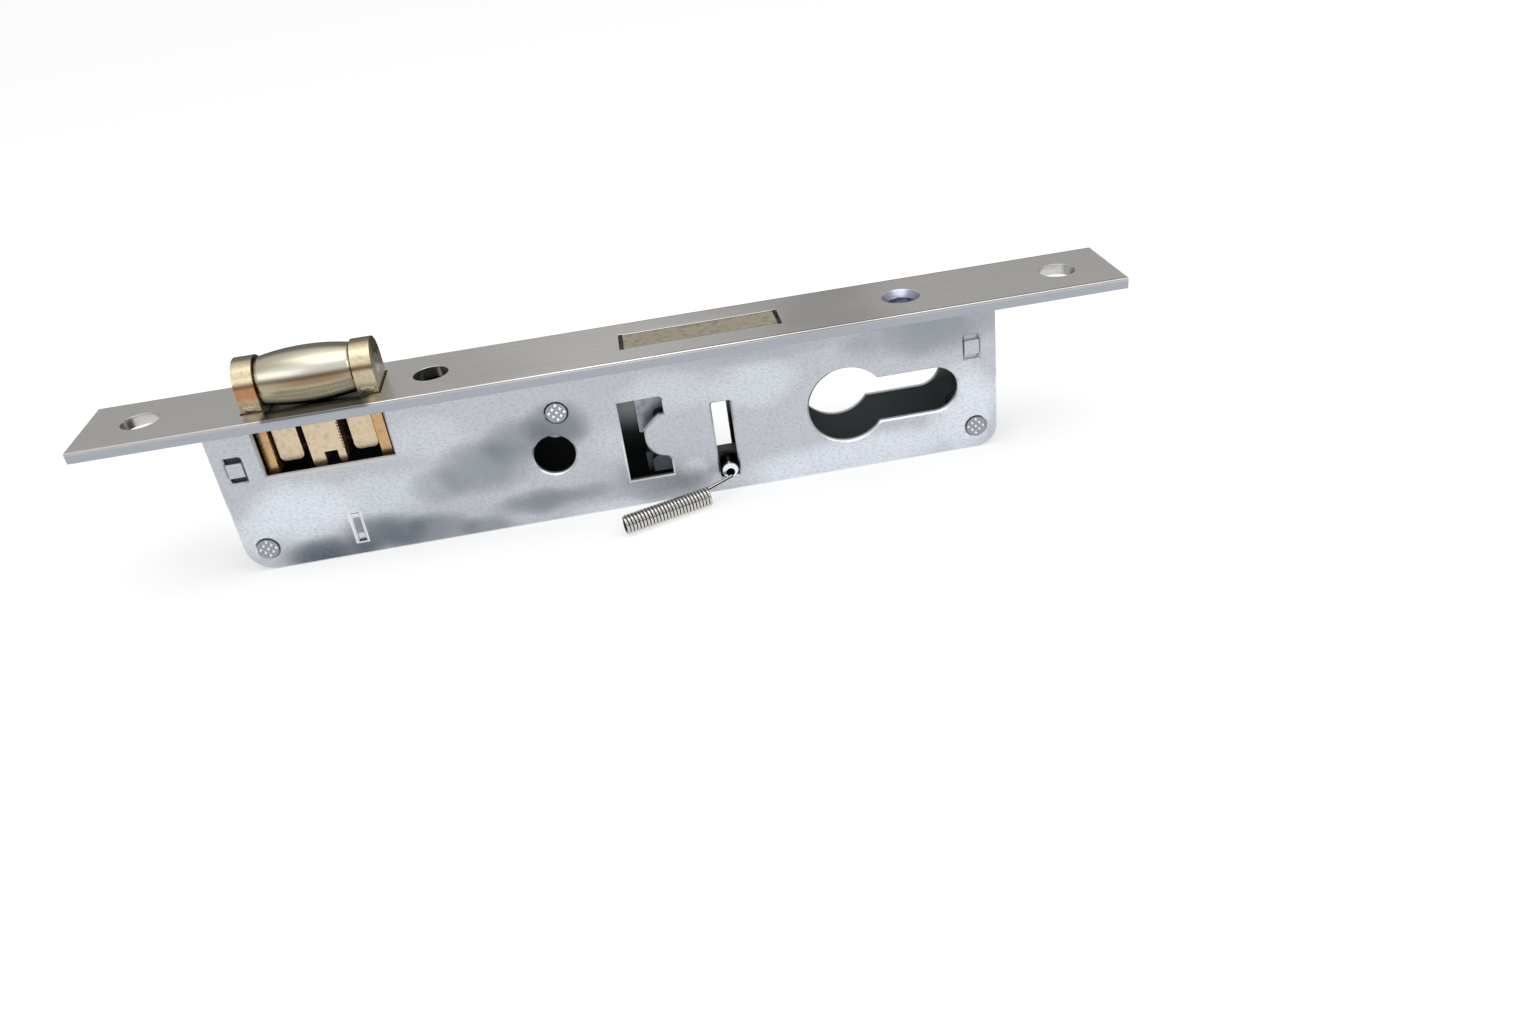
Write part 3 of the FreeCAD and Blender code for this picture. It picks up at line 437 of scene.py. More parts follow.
@dataclass(frozen=True)
class ZincPlate:
    """Bluish zinc plating on pressed sheet: grain and a few scratches, with painted light: soft patches of
    painted reflection, painted shading on the pressed tabs, painted highlights on cut edges and on the latch
    window's lower edge, and painted shade on the inner side with a painted lit patch.
    """

    name: str = "zinc_sheet"
    colour: Colour = (0.60, 0.625, 0.67)
    # Colours of the painted dark reflections and painted highlights; the lighter one also makes the painted
    # highlights at the ends of the pressed tabs.
    reflected_dark: Colour = (0.125, 0.145, 0.175)
    light: Colour = (0.83, 0.87, 0.94)
    # Painted shade on the inner faces: nearly black, dark grey far along.
    inner_shade: Colour = (0.16, 0.19, 0.195)
    deep_shade: Colour = (0.02, 0.025, 0.025)
    # White of the painted highlights on cut edges and of the painted lit patch on the inner faces.
    rim: Colour = (0.95, 0.97, 1.0)
    fine: Noise = Noise(0.45, (0.6, 1.0, 1.0))
    fine_seen: Ends = (0.42, 0.7)
    fine_depth: float = 0.3
    grain: Noise = Noise(2.5, (1.0, 1.0, 3.0), 4.0)
    drift: Noise = Noise(22.0)
    drift_seen: Ends = (0.35, 0.75)
    drift_depth: float = 0.25
    ragged: float = 0.9
    scratches: tuple[Scratches, ...] = (
        Scratches(9.7, 0.21, 0.009, (0.695, 0.815)),
        Scratches(13.3, -0.34, 0.009, (0.695, 0.815)),
        Scratches(17.9, 0.05, 0.009, (0.695, 0.815)),
    )
    scratch_depth: float = 0.35
    lance_shade_fade: Ends = (0.5, 0.65)
    lance_side: Ends = (0.8, 1.0)
    lance_end: Ends = (0.9, 1.0)
    # Painted highlight on cut edges of the holes low on the plates.
    rim_highlight_zone: Band = Band(7.5, 0.1, 0.2, 0.9)
    rim_highlight_start: Ends = (18.0, 21.0)
    # Where the inner faces get painted shade and the painted lit patch.
    inner_face: float = 7.0
    inner_fade: float = 0.6
    deep_end: Ends = (22.0, 34.0)
    lit_end: Ends = (18.0, 25.0)
    lit_start: Ends = (-8.0, -3.0)
    inner_dulling: float = 0.75
    # Painted highlight along the latch window's lower edge.
    sill_rise: Ends = (-75.6, -75.4)
    sill_fall: Ends = (-48.4, -48.2)
    sill_highlight_zone: Band = Band(-14.2, 0.25, 0.32)
    drift_share: float = 0.75
    fine_share: float = 0.5
    scratch_share: float = 1.35
    lance_shade_share: float = 0.52
    least_rough: float = 0.29
    rough_fine: float = 0.12
    rough_grain: float = 0.10
    fine_relief: float = 0.5
    relief_depth: float = 0.012
    # Patches of painted dark reflection and of painted highlight, and pressed tabs that get painted shading.
    dark_reflections: tuple[Patch, ...] = ()
    lights: tuple[Patch, ...] = ()
    lances: tuple[Patch, ...] = ()

    def make(self) -> bpy.types.Material:
        """Builds the material."""
        tree = Tree(self.name)
        fine, grain, drift = tree.noise(self.fine), tree.noise(self.grain), tree.noise(self.drift)
        drifted = drift.within(*self.drift_seen) * self.drift_depth
        colour = tree.blend(drifted, self.colour, shaded(self.colour, self.drift_share))
        # Painted highlights and painted dark reflections, in soft patches.
        for places, tone in ((self.lights, self.light), (self.dark_reflections, self.reflected_dark)):
            for place in places:
                colour = tree.blend(tree.patch(place, self.ragged) * place.depth, colour, tone)
        grained = fine.within(*self.fine_seen) * self.fine_depth
        colour = tree.blend(grained, colour, shaded(self.colour, self.fine_share))
        for kind in self.scratches:
            scratch = tree.scratched(kind) * self.scratch_depth
            colour = tree.blend(scratch, colour, shaded(self.colour, self.scratch_share))
        # Painted shading of the pressed tabs: darker along their middle, lighter at their ends as painted
        # highlights.
        for lance in self.lances:
            above = abs(tree.up - lance.up) / lance.height
            beside = abs(tree.along - lance.along) / lance.width
            pressed = (1.0 - beside.within(*self.lance_side)) * (1.0 - above.within(*self.lance_end))
            lance_shade = shaded(self.colour, self.lance_shade_share)
            tone = tree.blend(above.within(*self.lance_shade_fade), lance_shade, self.light)
            colour = tree.blend(pressed * lance.depth, colour, tone)
        out = abs(tree.across)
        # Painted highlight on cut edges of the holes low on the plates.
        rim = self.rim_highlight_zone.on(out) * (-tree.up).within(*self.rim_highlight_start)
        colour = tree.blend(rim, colour, self.rim)
        # Painted shade on the inner faces, with a painted lit patch on their upper part from about the middle
        # along.
        inner = (self.inner_face - out).within(0.0, self.inner_fade)
        dark = tree.blend(tree.along.within(*self.deep_end), self.deep_shade, self.inner_shade)
        lit = (1.0 - (-tree.up).within(*self.lit_end)) * tree.along.within(*self.lit_start)
        colour = tree.blend(inner, colour, tree.blend(lit, dark, self.rim))
        # Painted highlight: the latch window's lower edge is white and not metal.
        sill_highlight = tree.along.between(self.sill_rise, self.sill_fall) * self.sill_highlight_zone.on(tree.up)
        colour = tree.blend(sill_highlight, colour, WHITE)
        rough = fine * self.rough_fine + grain * self.rough_grain + self.least_rough
        metal = (1.0 - inner * self.inner_dulling) * (1.0 - sill_highlight)
        return tree.surface(colour, rough, fine * self.fine_relief + grain, self.relief_depth, metal)


@dataclass(frozen=True)
class Casting:
    """Plated casting: faint grain, mottling, a tinted band round one height and another tone below."""

    name: str
    colour: Colour
    tint: Colour
    below: Colour
    outer: Colour
    middle: float = 0.0
    outer_reach: float = 100.0
    outer_fade: float = 0.2
    tint_zone: Band = Band(0.0, 0.0, 2.0, 0.5)
    tint_wander: float = 1.6
    below_fade: Ends = (1.0, 2.0)
    fine: Noise = Noise(0.5)
    drift: Noise = Noise(3.0)
    mottle: Noise = Noise(1.2, EVEN, 4.0)
    mottle_seen: Ends = (0.45, 0.75)
    mottle_depth: float = 0.2
    front_face: Ends = (4.8, 5.2)
    spots: tuple[Patch, ...] = ()
    spot_height: float = 12.0
    mottle_share: float = 0.35
    spot_highlight_share: float = 1.45
    least_rough: float = 0.18
    rough_fine: float = 0.16
    rough_mottle: float = 0.10
    mottle_relief: float = 0.6
    relief_depth: float = 0.014
    metal: float = 0.85

    def upper(self, tree: Tree, colour: Wire) -> Wire:
        """The colour of the upper part."""
        return colour

    def lower(self, tree: Tree, colour: Wire, outer: Wire) -> Wire:
        """The colour of the lower part, in which outer marks the outer legs."""
        return colour

    def make(self) -> bpy.types.Material:
        """Builds the material."""
        tree = Tree(self.name)
        fine, blotch = tree.noise(self.fine), tree.noise(self.mottle)
        wander = (tree.noise(self.drift) - 0.5) * self.tint_wander
        colour = tree.blend(self.tint_zone.on(tree.up + wander), self.colour, self.tint)
        colour = self.upper(tree, colour)
        outer = (abs(tree.along - self.middle) - self.outer_reach).within(0.0, self.outer_fade)
        low = self.lower(tree, tree.blend(outer, self.below, self.outer), outer)
        colour = tree.blend((-tree.up).within(*self.below_fade), colour, low)
        mottled = blotch.within(*self.mottle_seen) * self.mottle_depth
        colour = tree.blend(mottled, colour, shaded(self.tint, self.mottle_share))
        relief = fine + blotch * self.mottle_relief
        facing = (-tree.across).within(*self.front_face)
        # Pressed dots: raised in the relief, and lighter as a painted highlight.
        for place in self.spots:
            spot = tree.patch(place) * facing
            colour = tree.blend(spot * place.depth, colour, shaded(self.colour, self.spot_highlight_share))
            relief = relief + spot * self.spot_height
        rough = fine * self.rough_fine + blotch * self.rough_mottle + self.least_rough
        return tree.surface(colour, rough, relief, self.relief_depth, self.metal)


@dataclass(frozen=True)
class ForkCasting(Casting):
    """The latch's casting: a copper left ear, a painted highlight band and painted dark reflections on the
    tops of both ears, and painted shade on the web.
    """

    copper: Colour = (0.50, 0.25, 0.12)
    copper_end: Ends = (-72.0, -70.0)
    copper_zone: Band = Band(4.6, 1.0, 3.6)
    axis_height: float = 4.3
    # Where the painted highlight band, the painted dark reflection on the tops and the painted shade on the
    # web lie.
    highlight_zone: Band = Band(0.5, 0.1, 0.3)
    highlight_front: Ends = (0.0, 0.1)
    top_front: Ends = (0.12, 0.40)
    top_start: Ends = (0.3, 0.6)
    top_reflection_depth: float = 0.85
    web_rise: Ends = (-3.4, -3.0)
    web_fall: Ends = (-1.5, -1.0)
    highlight_share: float = 1.55
    top_reflection_share: float = 0.18
    web_shade_share: float = 0.05

    def upper(self, tree: Tree, colour: Wire) -> Wire:
        """The colour with the copper ear, the ears' painted highlight band and the painted dark reflections
        on their tops.
        """
        warm = (1.0 - tree.along.within(*self.copper_end)) * self.copper_zone.on(tree.up)
        colour = tree.blend(warm, colour, self.copper)
        # Painted highlight band on the ears where they face up and forward.
        forward, upward = tree.around(self.axis_height)
        high = self.highlight_zone.on(upward) * forward.within(*self.highlight_front)
        colour = tree.blend(high, colour, shaded(self.colour, self.highlight_share))
        # Painted dark reflection on the tops of the ears, where they face up and not forward.
        top = (1.0 - forward.within(*self.top_front)) * upward.within(*self.top_start)
        return tree.blend(top * self.top_reflection_depth, colour, shaded(self.colour, self.top_reflection_share))

    def lower(self, tree: Tree, colour: Wire, outer: Wire) -> Wire:
        """The colour with painted shade on the web."""
        # Painted shade: the web between the legs is nearly black.
        web = tree.up.between(self.web_rise, self.web_fall) * (1.0 - outer)
        return tree.blend(web, colour, shaded(self.colour, self.web_shade_share))


@dataclass(frozen=True)
class Turned:
    """Turned brass with fine rings round the axis, and painted light: a painted highlight band, a lighter
    lower band and a reddish band that are painted reflections, a painted dark reflection on the top and
    painted shade at the foot.
    """

    name: str = "roller_brass_satin"
    colour: Colour = (0.56, 0.525, 0.41)
    # Colours of the painted light: the highlight band, the lower band and the reddish band as painted
    # reflections, and the dark of the top and the foot.
    light: Colour = (0.98, 0.95, 0.83)
    floor_reflection: Colour = (0.92, 0.84, 0.58)
    tint: Colour = (0.30, 0.17, 0.08)
    dark: Colour = (0.05, 0.045, 0.03)
    rings: Noise = Noise(0.25, (1.0, 0.02, 0.02))
    tone: Noise = Noise(5.0, (0.4, 1.0, 1.0))
    tone_depth: float = 0.3
    axis_height: float = 4.3
    front: Ends = (0.0, 0.1)
    # Where the painted highlight, the painted reflections, the painted dark top and the painted shade at the
    # foot lie.
    highlight_zone: Band = Band(0.48, 0.08, 0.28, 0.85)
    floor_reflection_zone: Band = Band(-0.42, 0.14, 0.34)
    floor_reflection_dulling: float = 0.8
    tint_zone: Band = Band(0.1, 0.06, 0.28, 0.85)
    red_reflection_middle: Band = Band(-60.0, 2.0, 12.0, 0.6)
    foot_shade_start: Ends = (0.72, 0.88)
    top_front: Ends = (0.12, 0.36)
    top_start: Ends = (0.3, 0.6)
    top_reflection_depth: float = 0.8
    tone_share: float = 0.8
    top_reflection_share: float = 2.0
    least_rough: float = 0.15
    rough_rings: float = 0.14
    rough_tone: float = 0.06
    relief_depth: float = 0.004

    def make(self) -> bpy.types.Material:
        """Builds the material."""
        tree = Tree(self.name)
        rings, tone = tree.noise(self.rings), tree.noise(self.tone)
        forward, upward = tree.around(self.axis_height)
        front = forward.within(*self.front)
        colour = tree.blend(tone * self.tone_depth, self.colour, shaded(self.colour, self.tone_share))
        # Painted highlight band where the roller faces up and forward.
        colour = tree.blend(self.highlight_zone.on(upward) * front, colour, self.light)
        # Painted reflection: a lighter lower band where the roller faces forward and down, less metal there.
        low = self.floor_reflection_zone.on(upward) * front
        colour = tree.blend(low, colour, self.floor_reflection)
        # Painted reflection: a reddish band just above the roller's middle height, strongest round the middle
        # of its length and facing forward.
        middle = self.red_reflection_middle.on(tree.along) + (1.0 - self.red_reflection_middle.depth)
        colour = tree.blend(self.tint_zone.on(upward) * middle * front, colour, self.tint)
        # Painted shade at the roller's foot, where it faces down.
        colour = tree.blend((-upward).within(*self.foot_shade_start), colour, self.dark)
        # Painted dark reflection on the roller's top, where it faces up and not forward.
        top = (1.0 - forward.within(*self.top_front)) * upward.within(*self.top_start)
        colour = tree.blend(top * self.top_reflection_depth, colour, shaded(self.dark, self.top_reflection_share))
        rough = rings * self.rough_rings + tone * self.rough_tone + self.least_rough
        return tree.surface(colour, rough, rings, self.relief_depth, 1.0 - low * self.floor_reflection_dulling)


@dataclass(frozen=True)
class BrightEnd:
    """Steel that is bright where it stands out of the plates, and dark further in as painted shade."""

    name: str
    colour: Colour = (0.90, 0.92, 0.95)
    # Dark of the painted shade further in.
    dark: Colour = (0.30, 0.32, 0.35)
    fine: Noise = Noise(0.3, EVEN, 2.0)
    face: float = 7.8
    height: float = 0.24
    bright_seen: Ends = (0.1, 0.75)
    least_rough: float = 0.18
    rough_fine: float = 0.14
    relief_depth: float = 0.01

    def make(self) -> bpy.types.Material:
        """Builds the material."""
        tree = Tree(self.name)
        fine = tree.noise(self.fine)
        out = (abs(tree.across) - self.face) / self.height
        # Painted shade: darker further in.
        colour = tree.blend(out.within(*self.bright_seen), self.dark, self.colour)
        return tree.surface(colour, fine * self.rough_fine + self.least_rough, fine, self.relief_depth)


@dataclass(frozen=True)
class CoiledWire:
    """Bright wire with painted light from values stored on the mesh: painted shade towards the coil's axis
    and between its turns, and on the leg a painted highlight on the lit side with painted shade on the rest.
    """

    name: str = "bright_steel_wire"
    colour: Colour = (0.68, 0.66, 0.62)
    # Dark of the painted shade between the turns and on the leg's sides.
    gap_shade: Colour = (0.035, 0.03, 0.025)
    fine: Noise = Noise(0.3, EVEN, 2.0)
    painted_light_seen: Ends = (0.5, 0.9)
    least_rough: float = 0.14
    rough_fine: float = 0.12
    relief_depth: float = 0.003

    def make(self) -> bpy.types.Material:
        """Builds the material."""
        tree = Tree(self.name)
        fine = tree.noise(self.fine)
        # Painted light and shade stored on the mesh.
        painted_light = tree.node("ShaderNodeAttribute", {"attribute_name": "painted_light"}, output="Fac")
        colour = tree.blend(painted_light.within(*self.painted_light_seen), self.gap_shade, self.colour)
        return tree.surface(colour, fine * self.rough_fine + self.least_rough, fine, self.relief_depth)


@dataclass(frozen=True)
class Steel:
    """Plain steel, bright or dark, with fine scuffs."""

    name: str
    colour: Colour
    least_rough: float
    fine: Noise = Noise(0.4)
    tone: Noise = Noise(3.0)
    scuff_seen: Ends = (0.4, 0.7)
    scuff_depth: float = 0.3
    scuff_share: float = 0.6
    rough_fine: float = 0.14
    relief_depth: float = 0.006

    def make(self) -> bpy.types.Material:
        """Builds the material."""
        tree = Tree(self.name)
        fine, tone = tree.noise(self.fine), tree.noise(self.tone)
        scuffed = tone.within(*self.scuff_seen) * self.scuff_depth
        colour = tree.blend(scuffed, self.colour, shaded(self.colour, self.scuff_share))
        return tree.surface(colour, fine * self.rough_fine + self.least_rough, fine, self.relief_depth)


# Painted dark reflections on the near plate, as soft patches.
CASE_DARK_REFLECTIONS = (
    Patch(-31.0, -20.0, 12.0, 8.0, 0.5),
    Patch(-23.0, -15.5, 10.0, 6.5, 0.55),
    Patch(-14.5, -13.0, 9.0, 6.5, 0.7),
    Patch(-42.0, -22.5, 8.0, 5.0, 0.35),
    Patch(-68.0, -34.0, 13.0, 5.0, 1.0),
    Patch(-56.0, -31.5, 12.0, 5.5, 0.85),
    Patch(-46.0, -33.0, 12.0, 5.0, 0.6),
    Patch(-34.0, -34.5, 9.0, 4.0, 0.5),
    Patch(-22.0, -30.5, 13.0, 3.8, 0.65),
    Patch(-11.0, -30.0, 8.0, 3.0, 0.4),
    Patch(6.0, -33.5, 8.0, 2.4, 0.25),
    Patch(66.0, -5.5, 22.0, 7.0, 0.5),
    Patch(30.0, -4.5, 24.0, 3.0, 0.2),
)
# Painted highlights on the near plate, as soft patches.
CASE_HIGHLIGHTS = (
    Patch(-71.0, -23.0, 14.0, 9.0, 0.95),
    Patch(-82.0, -27.0, 5.0, 6.0, 0.7),
    Patch(-53.0, -22.0, 16.0, 6.5, 0.5),
    Patch(-42.0, -11.0, 12.0, 6.0, 0.35),
    Patch(48.0, -33.0, 36.0, 6.5, 1.0),
    Patch(74.0, -26.0, 10.0, 13.0, 1.0),
    Patch(28.0, -11.0, 12.0, 7.0, 0.6),
    Patch(10.0, -10.0, 12.0, 6.0, 0.4),
    Patch(-2.0, -20.0, 8.0, 6.0, 0.3),
    Patch(-8.0, -35.5, 12.0, 3.0, 0.6),
    Patch(13.0, -29.5, 4.0, 4.0, 0.7),
)
# Pressed tabs on the near plate, which get painted shading.
CASE_LANCES = (
    Patch(-81.0, -11.4, 1.75, 2.7, 0.8),
    Patch(76.5, -11.2, 1.75, 2.7, 0.8),
    Patch(-60.2, -28.8, 1.1, 3.4, 0.8),
)
# Pressed dots at the feet of the ears, raised, with a painted highlight.
FORK_SPOTS = (Patch(-74.2, 0.9, 1.5, 1.0, 0.6), Patch(-50.5, 0.9, 1.5, 1.0, 0.6))
FOREND_FINISH = Polished()
COVER_FINISH = ZincPlate("zinc_cover", dark_reflections=CASE_DARK_REFLECTIONS, lights=CASE_HIGHLIGHTS, lances=CASE_LANCES)
ZINC = ZincPlate()
FORK_FINISH = ForkCasting(
    "latch_brass", (0.62, 0.54, 0.37), (0.26, 0.10, 0.04), (0.76, 0.61, 0.43), (0.66, 0.42, 0.20),
    middle=-62.35, outer_reach=10.6, tint_zone=Band(6.0, 0.0, 1.5, 0.95), least_rough=0.12, spots=FORK_SPOTS,
)
BOLT_FINISH = Casting(
    "bolt_yellow", (0.60, 0.57, 0.47), (0.36, 0.30, 0.19), (0.42, 0.45, 0.52), (0.42, 0.45, 0.52),
    mottle=Noise(1.8, EVEN, 4.0), mottle_depth=0.55, least_rough=0.30,
)
ROLLER_FINISH = Turned()
PUNCHED = BrightEnd("punched_steel")
STUD = BrightEnd("stud_steel", dark=(0.02, 0.02, 0.025), face=7.7, height=0.5)
WOUND = CoiledWire()
WHITE_METAL = Steel("staked_steel", (0.92, 0.93, 0.95), 0.17)
# Dark steel, made darker still as painted shade, for the parts within the case.
SHADED_DARK_STEEL = Steel("tail_steel_dark", (0.10, 0.105, 0.115), 0.35)
OILED = Steel("oiled_spring_wire", (0.05, 0.05, 0.055), 0.23)


class Workshop:
    """Turns meshes into finished pieces and keeps one material for each finish."""

    def __init__(self) -> None:
        """Starts with no materials."""
        self.made: dict[str, bpy.types.Material] = {}

    def material(self, finish: Finish) -> bpy.types.Material:
        """The material of a finish, built once."""
        if finish.name not in self.made:
            self.made[finish.name] = finish.make()
        return self.made[finish.name]

    def dress(self, finish: Finish, *nodes: str) -> None:
        """Gives nodes of the frame their material."""
        for node in nodes:
            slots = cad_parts[node].data.materials
            slots.clear()
            slots.append(self.material(finish))
            LOG.info("dressed %s in %s", node, finish.name)

    def settle(
        self,
        shape: bmesh.types.BMesh,
        name: str,
        body: Body,
        finish: Finish,
        stands_for: Sequence[str] = (),
        sharp: float = 40.0,
    ) -> bpy.types.Object:
        """Makes a piece of a mesh and puts it on its body.

        Args:
            shape: The piece's mesh, which is used up.
            name: The piece's name.
            body: The body that it rides on.
            finish: Its finish.
            stands_for: Nodes that it replaces.
            sharp: Angle in degrees from which an edge stays sharp.

        Returns:
            The piece.
        """
        mesh = bpy.data.meshes.new(name)
        shape.to_mesh(mesh)
        shape.free()
        mesh.shade_smooth()
        mesh.set_sharp_from_angle(angle=math.radians(sharp))
        mesh.materials.append(self.material(finish))
        piece = bpy.data.objects.new(name, mesh)
        bpy.context.scene.collection.objects.link(piece)
        weigh = piece.modifiers.new("even_normals", "WEIGHTED_NORMAL")
        weigh.keep_sharp = True
        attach(piece, body.value)
        if stands_for:
            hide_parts(*stands_for)
        LOG.info("made %s with %d faces", name, len(mesh.polygons))
        return piece

    def soften_node(
        self,
        node: str,
        name: str,
        body: Body,
        finish: Finish,
        width: float,
        angle: float = 40.0,
        segments: int = 2,
    ) -> None:
        """Makes a piece that stands for a node and has its edges rounded.

        Args:
            node: The node that it replaces.
            name: The piece's name.
            body: The body that it rides on.
            finish: Its finish.
            width: Width of the rounding in millimetres.
            angle: Angle in degrees from which an edge is rounded.
            segments: Faces across the rounding.
        """
        shape = copied(node)
        soften(shape, width, crisp_edges(shape, angle), segments)
        self.settle(shape, name, body, finish, [node])


def copied(node: str) -> bmesh.types.BMesh:
    """A clean mesh of a node of the frame.

    Args:
        node: The node's name.

    Returns:
        The node's mesh, merged and with its flat faces whole.
    """
    shape = bmesh.new()
    shape.from_mesh(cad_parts[node].data)
    bmesh.ops.remove_doubles(shape, verts=shape.verts, dist=MERGE_REACH)
    flat = math.radians(FLAT_ANGLE)
    bmesh.ops.dissolve_limit(shape, angle_limit=flat, verts=shape.verts, edges=shape.edges)
    return shape


def soften(
    shape: bmesh.types.BMesh,
    width: float,
    edges: Iterable[bmesh.types.BMEdge],
    segments: int = 2,
    clamp: bool = True,
) -> None:
    """Rounds edges of a mesh.

    Args:
        shape: The mesh.
        width: Width of the rounding in millimetres.
        edges: The edges.
        segments: Faces across the rounding.
        clamp: Whether narrow places make the rounding smaller everywhere.
    """
    bmesh.ops.bevel(
        shape, geom=list(edges), offset=width * MM, offset_type="OFFSET", affect="EDGES",
        segments=segments, profile=0.5, material=-1, clamp_overlap=clamp,
    )


def crisp_edges(shape: bmesh.types.BMesh, angle: float = 40.0) -> list[bmesh.types.BMEdge]:
    """Edges whose faces meet at more than an angle in degrees."""
    limit = math.radians(angle)
    return [edge for edge in shape.edges if edge.is_manifold and edge.calc_face_angle() > limit]


def turned(profile: Sequence[tuple[float, float]], centre: Vector, way: Way, steps: int) -> bmesh.types.BMesh:
    """Spins a closed profile about an axis.

    Args:
        profile: Points as (place along the axis, radius) in millimetres.
        centre: A point on the axis in millimetres.
        way: The axis.
        steps: Faces round the axis.

    Returns:
        The turned mesh.
    """
    shape = bmesh.new()
    side = Way.UP.value if way is not Way.UP else Way.ALONG.value
    spots = [shape.verts.new((centre + way.value * along + side * out) * MM) for along, out in profile]
    edges = [shape.edges.new((spots[i - 1], spots[i])) for i in range(len(spots))]
    bmesh.ops.spin(
        shape, geom=spots + edges, cent=centre * MM, axis=way.value,
        angle=FULL_TURN, steps=steps, use_merge=True,
    )
    bmesh.ops.remove_doubles(shape, verts=shape.verts, dist=WELD_REACH)
    bmesh.ops.recalc_face_normals(shape, faces=shape.faces)
    return shape


@dataclass
class Forend:
    """The strip with its rounded edges."""

    rim: float = 0.22

    def build(self, shop: Workshop) -> None:
        """Makes the strip's piece."""
        shop.soften_node(
            "forend", "forend_strip", Body.CASE, FOREND_FINISH, self.rim, segments=3
        )


@dataclass
class Case:
    """Side plates, blocks under the strip, staked posts and the springs' seat."""

    rim: float = 0.12
    cover_rim: float = 0.4
    post_places: tuple[tuple[float, float], ...] = ((-80.2, -30.4), (-14.0, -10.3), (76.8, -30.4))
    face: float = 7.7
    face_slack: float = 0.1
    punch_radius: float = 2.05
    punch_pitch: float = 1.15
    punch_height: float = 0.32
    punch_gap: float = 0.05
    punch_foot: float = 0.62
    punch_tip: float = 0.14
    punch_sharp: float = 20.0

    def build(self, shop: Workshop) -> None:
        """Makes the plates' pieces and dresses the rest."""
        shape = copied("case_cover")
        near = (self.face_slack - self.face) * MM
        outer = [edge for edge in crisp_edges(shape) if all(vert.co.y < near for vert in edge.verts)]
        soften(shape, self.cover_rim, outer, segments=1, clamp=False)
        shop.settle(shape, "case_cover_plate", Body.CASE, COVER_FINISH, ["case_cover"])
        shop.soften_node("case_tray", "case_tray_plate", Body.CASE, ZINC, self.rim)
        for node in ("forend_bracket_left", "forend_bracket_right"):
            shop.soften_node(node, f"{node}_block", Body.CASE, ZINC, self.rim)
        shop.dress(PUNCHED, "post_left", "post_middle", "post_right")
        shop.dress(SHADED_DARK_STEEL, "latch_spring_seat")
        for number, place in enumerate(self.post_places):
            for facing, word in ((-1, "near"), (1, "far")):
                shape, name = self.punched_end(place, facing), f"punched_end_{word}_{number}"
                shop.settle(shape, name, Body.CASE, PUNCHED, sharp=self.punch_sharp)

    def punched_end(self, place: tuple[float, float], facing: int) -> bmesh.types.BMesh:
        """The points that the staking punch leaves on a post's end.

        Args:
            place: The post's place along and up, in millimetres.
            facing: -1 for the near plate and 1 for the far one.

        Returns:
            The points' mesh.
        """
        shape = bmesh.new()
        reach = int(self.punch_radius / self.punch_pitch) + 1
        out = facing * (self.face + self.punch_gap + self.punch_height / 2)
        turn = Matrix.Rotation(-facing * math.pi / 2, 4, "X")
        for column in range(-reach, reach + 1):
            for row in range(-reach, reach + 1):
                across = (column + row) * self.punch_pitch / math.sqrt(2)
                up = (column - row) * self.punch_pitch / math.sqrt(2)
                if math.hypot(across, up) > self.punch_radius - self.punch_pitch / 4:
                    continue
                spot = Vector((place[0] + across, out, place[1] + up))
                bmesh.ops.create_cone(
                    shape, cap_ends=True, segments=4, radius1=self.punch_pitch * self.punch_foot * MM,
                    radius2=self.punch_pitch * self.punch_tip * MM, depth=self.punch_height * MM,
                    matrix=Matrix.Translation(spot * MM) @ turn,
                )
        bmesh.ops.recalc_face_normals(shape, faces=shape.faces)
        return shape


@dataclass
class RollerLatch:
    """Yellow casting, barrel-shaped roller, axle and springs."""

    place: float = -62.35
    axis_height: float = 4.3
    roller_length: float = 19.2
    roller_radius: float = 6.0
    end_radius: float = 5.0
    bore: float = 1.65
    chamfer: float = 0.25
    barrel_steps: int = 28
    roller_steps: int = 72
    rim: float = 0.35
    sharp: float = 60.0

    def build(self, shop: Workshop) -> None:
        """Makes the casting and the roller and dresses the rest."""
        shop.soften_node(
            "latch_fork", "fork_casting", Body.LATCH, FORK_FINISH,
            self.rim, self.sharp, segments=3,
        )
        centre = Vector((self.place, 0.0, self.axis_height))
        shape = turned(self.barrel(), centre, Way.ALONG, self.roller_steps)
        shop.settle(shape, "roller_barrel", Body.ROLLER, ROLLER_FINISH, ["latch_roller"])
        shop.dress(WHITE_METAL, "roller_axle")
        shop.dress(OILED, "latch_spring_left", "latch_spring_right")

    def barrel(self) -> list[tuple[float, float]]:
        """The roller's closed profile."""
        half = self.roller_length / 2
        points = [(-half, self.bore), (-half, self.end_radius - self.chamfer)]
        for step in range(self.barrel_steps + 1):
            along = (step / self.barrel_steps * 2 - 1) * (half - self.chamfer)
            bulge = (self.roller_radius - self.end_radius) * (1 - (along / half) ** 2)
            points.append((along, self.end_radius + bulge))
        return points + [(half, self.end_radius - self.chamfer), (half, self.bore)]


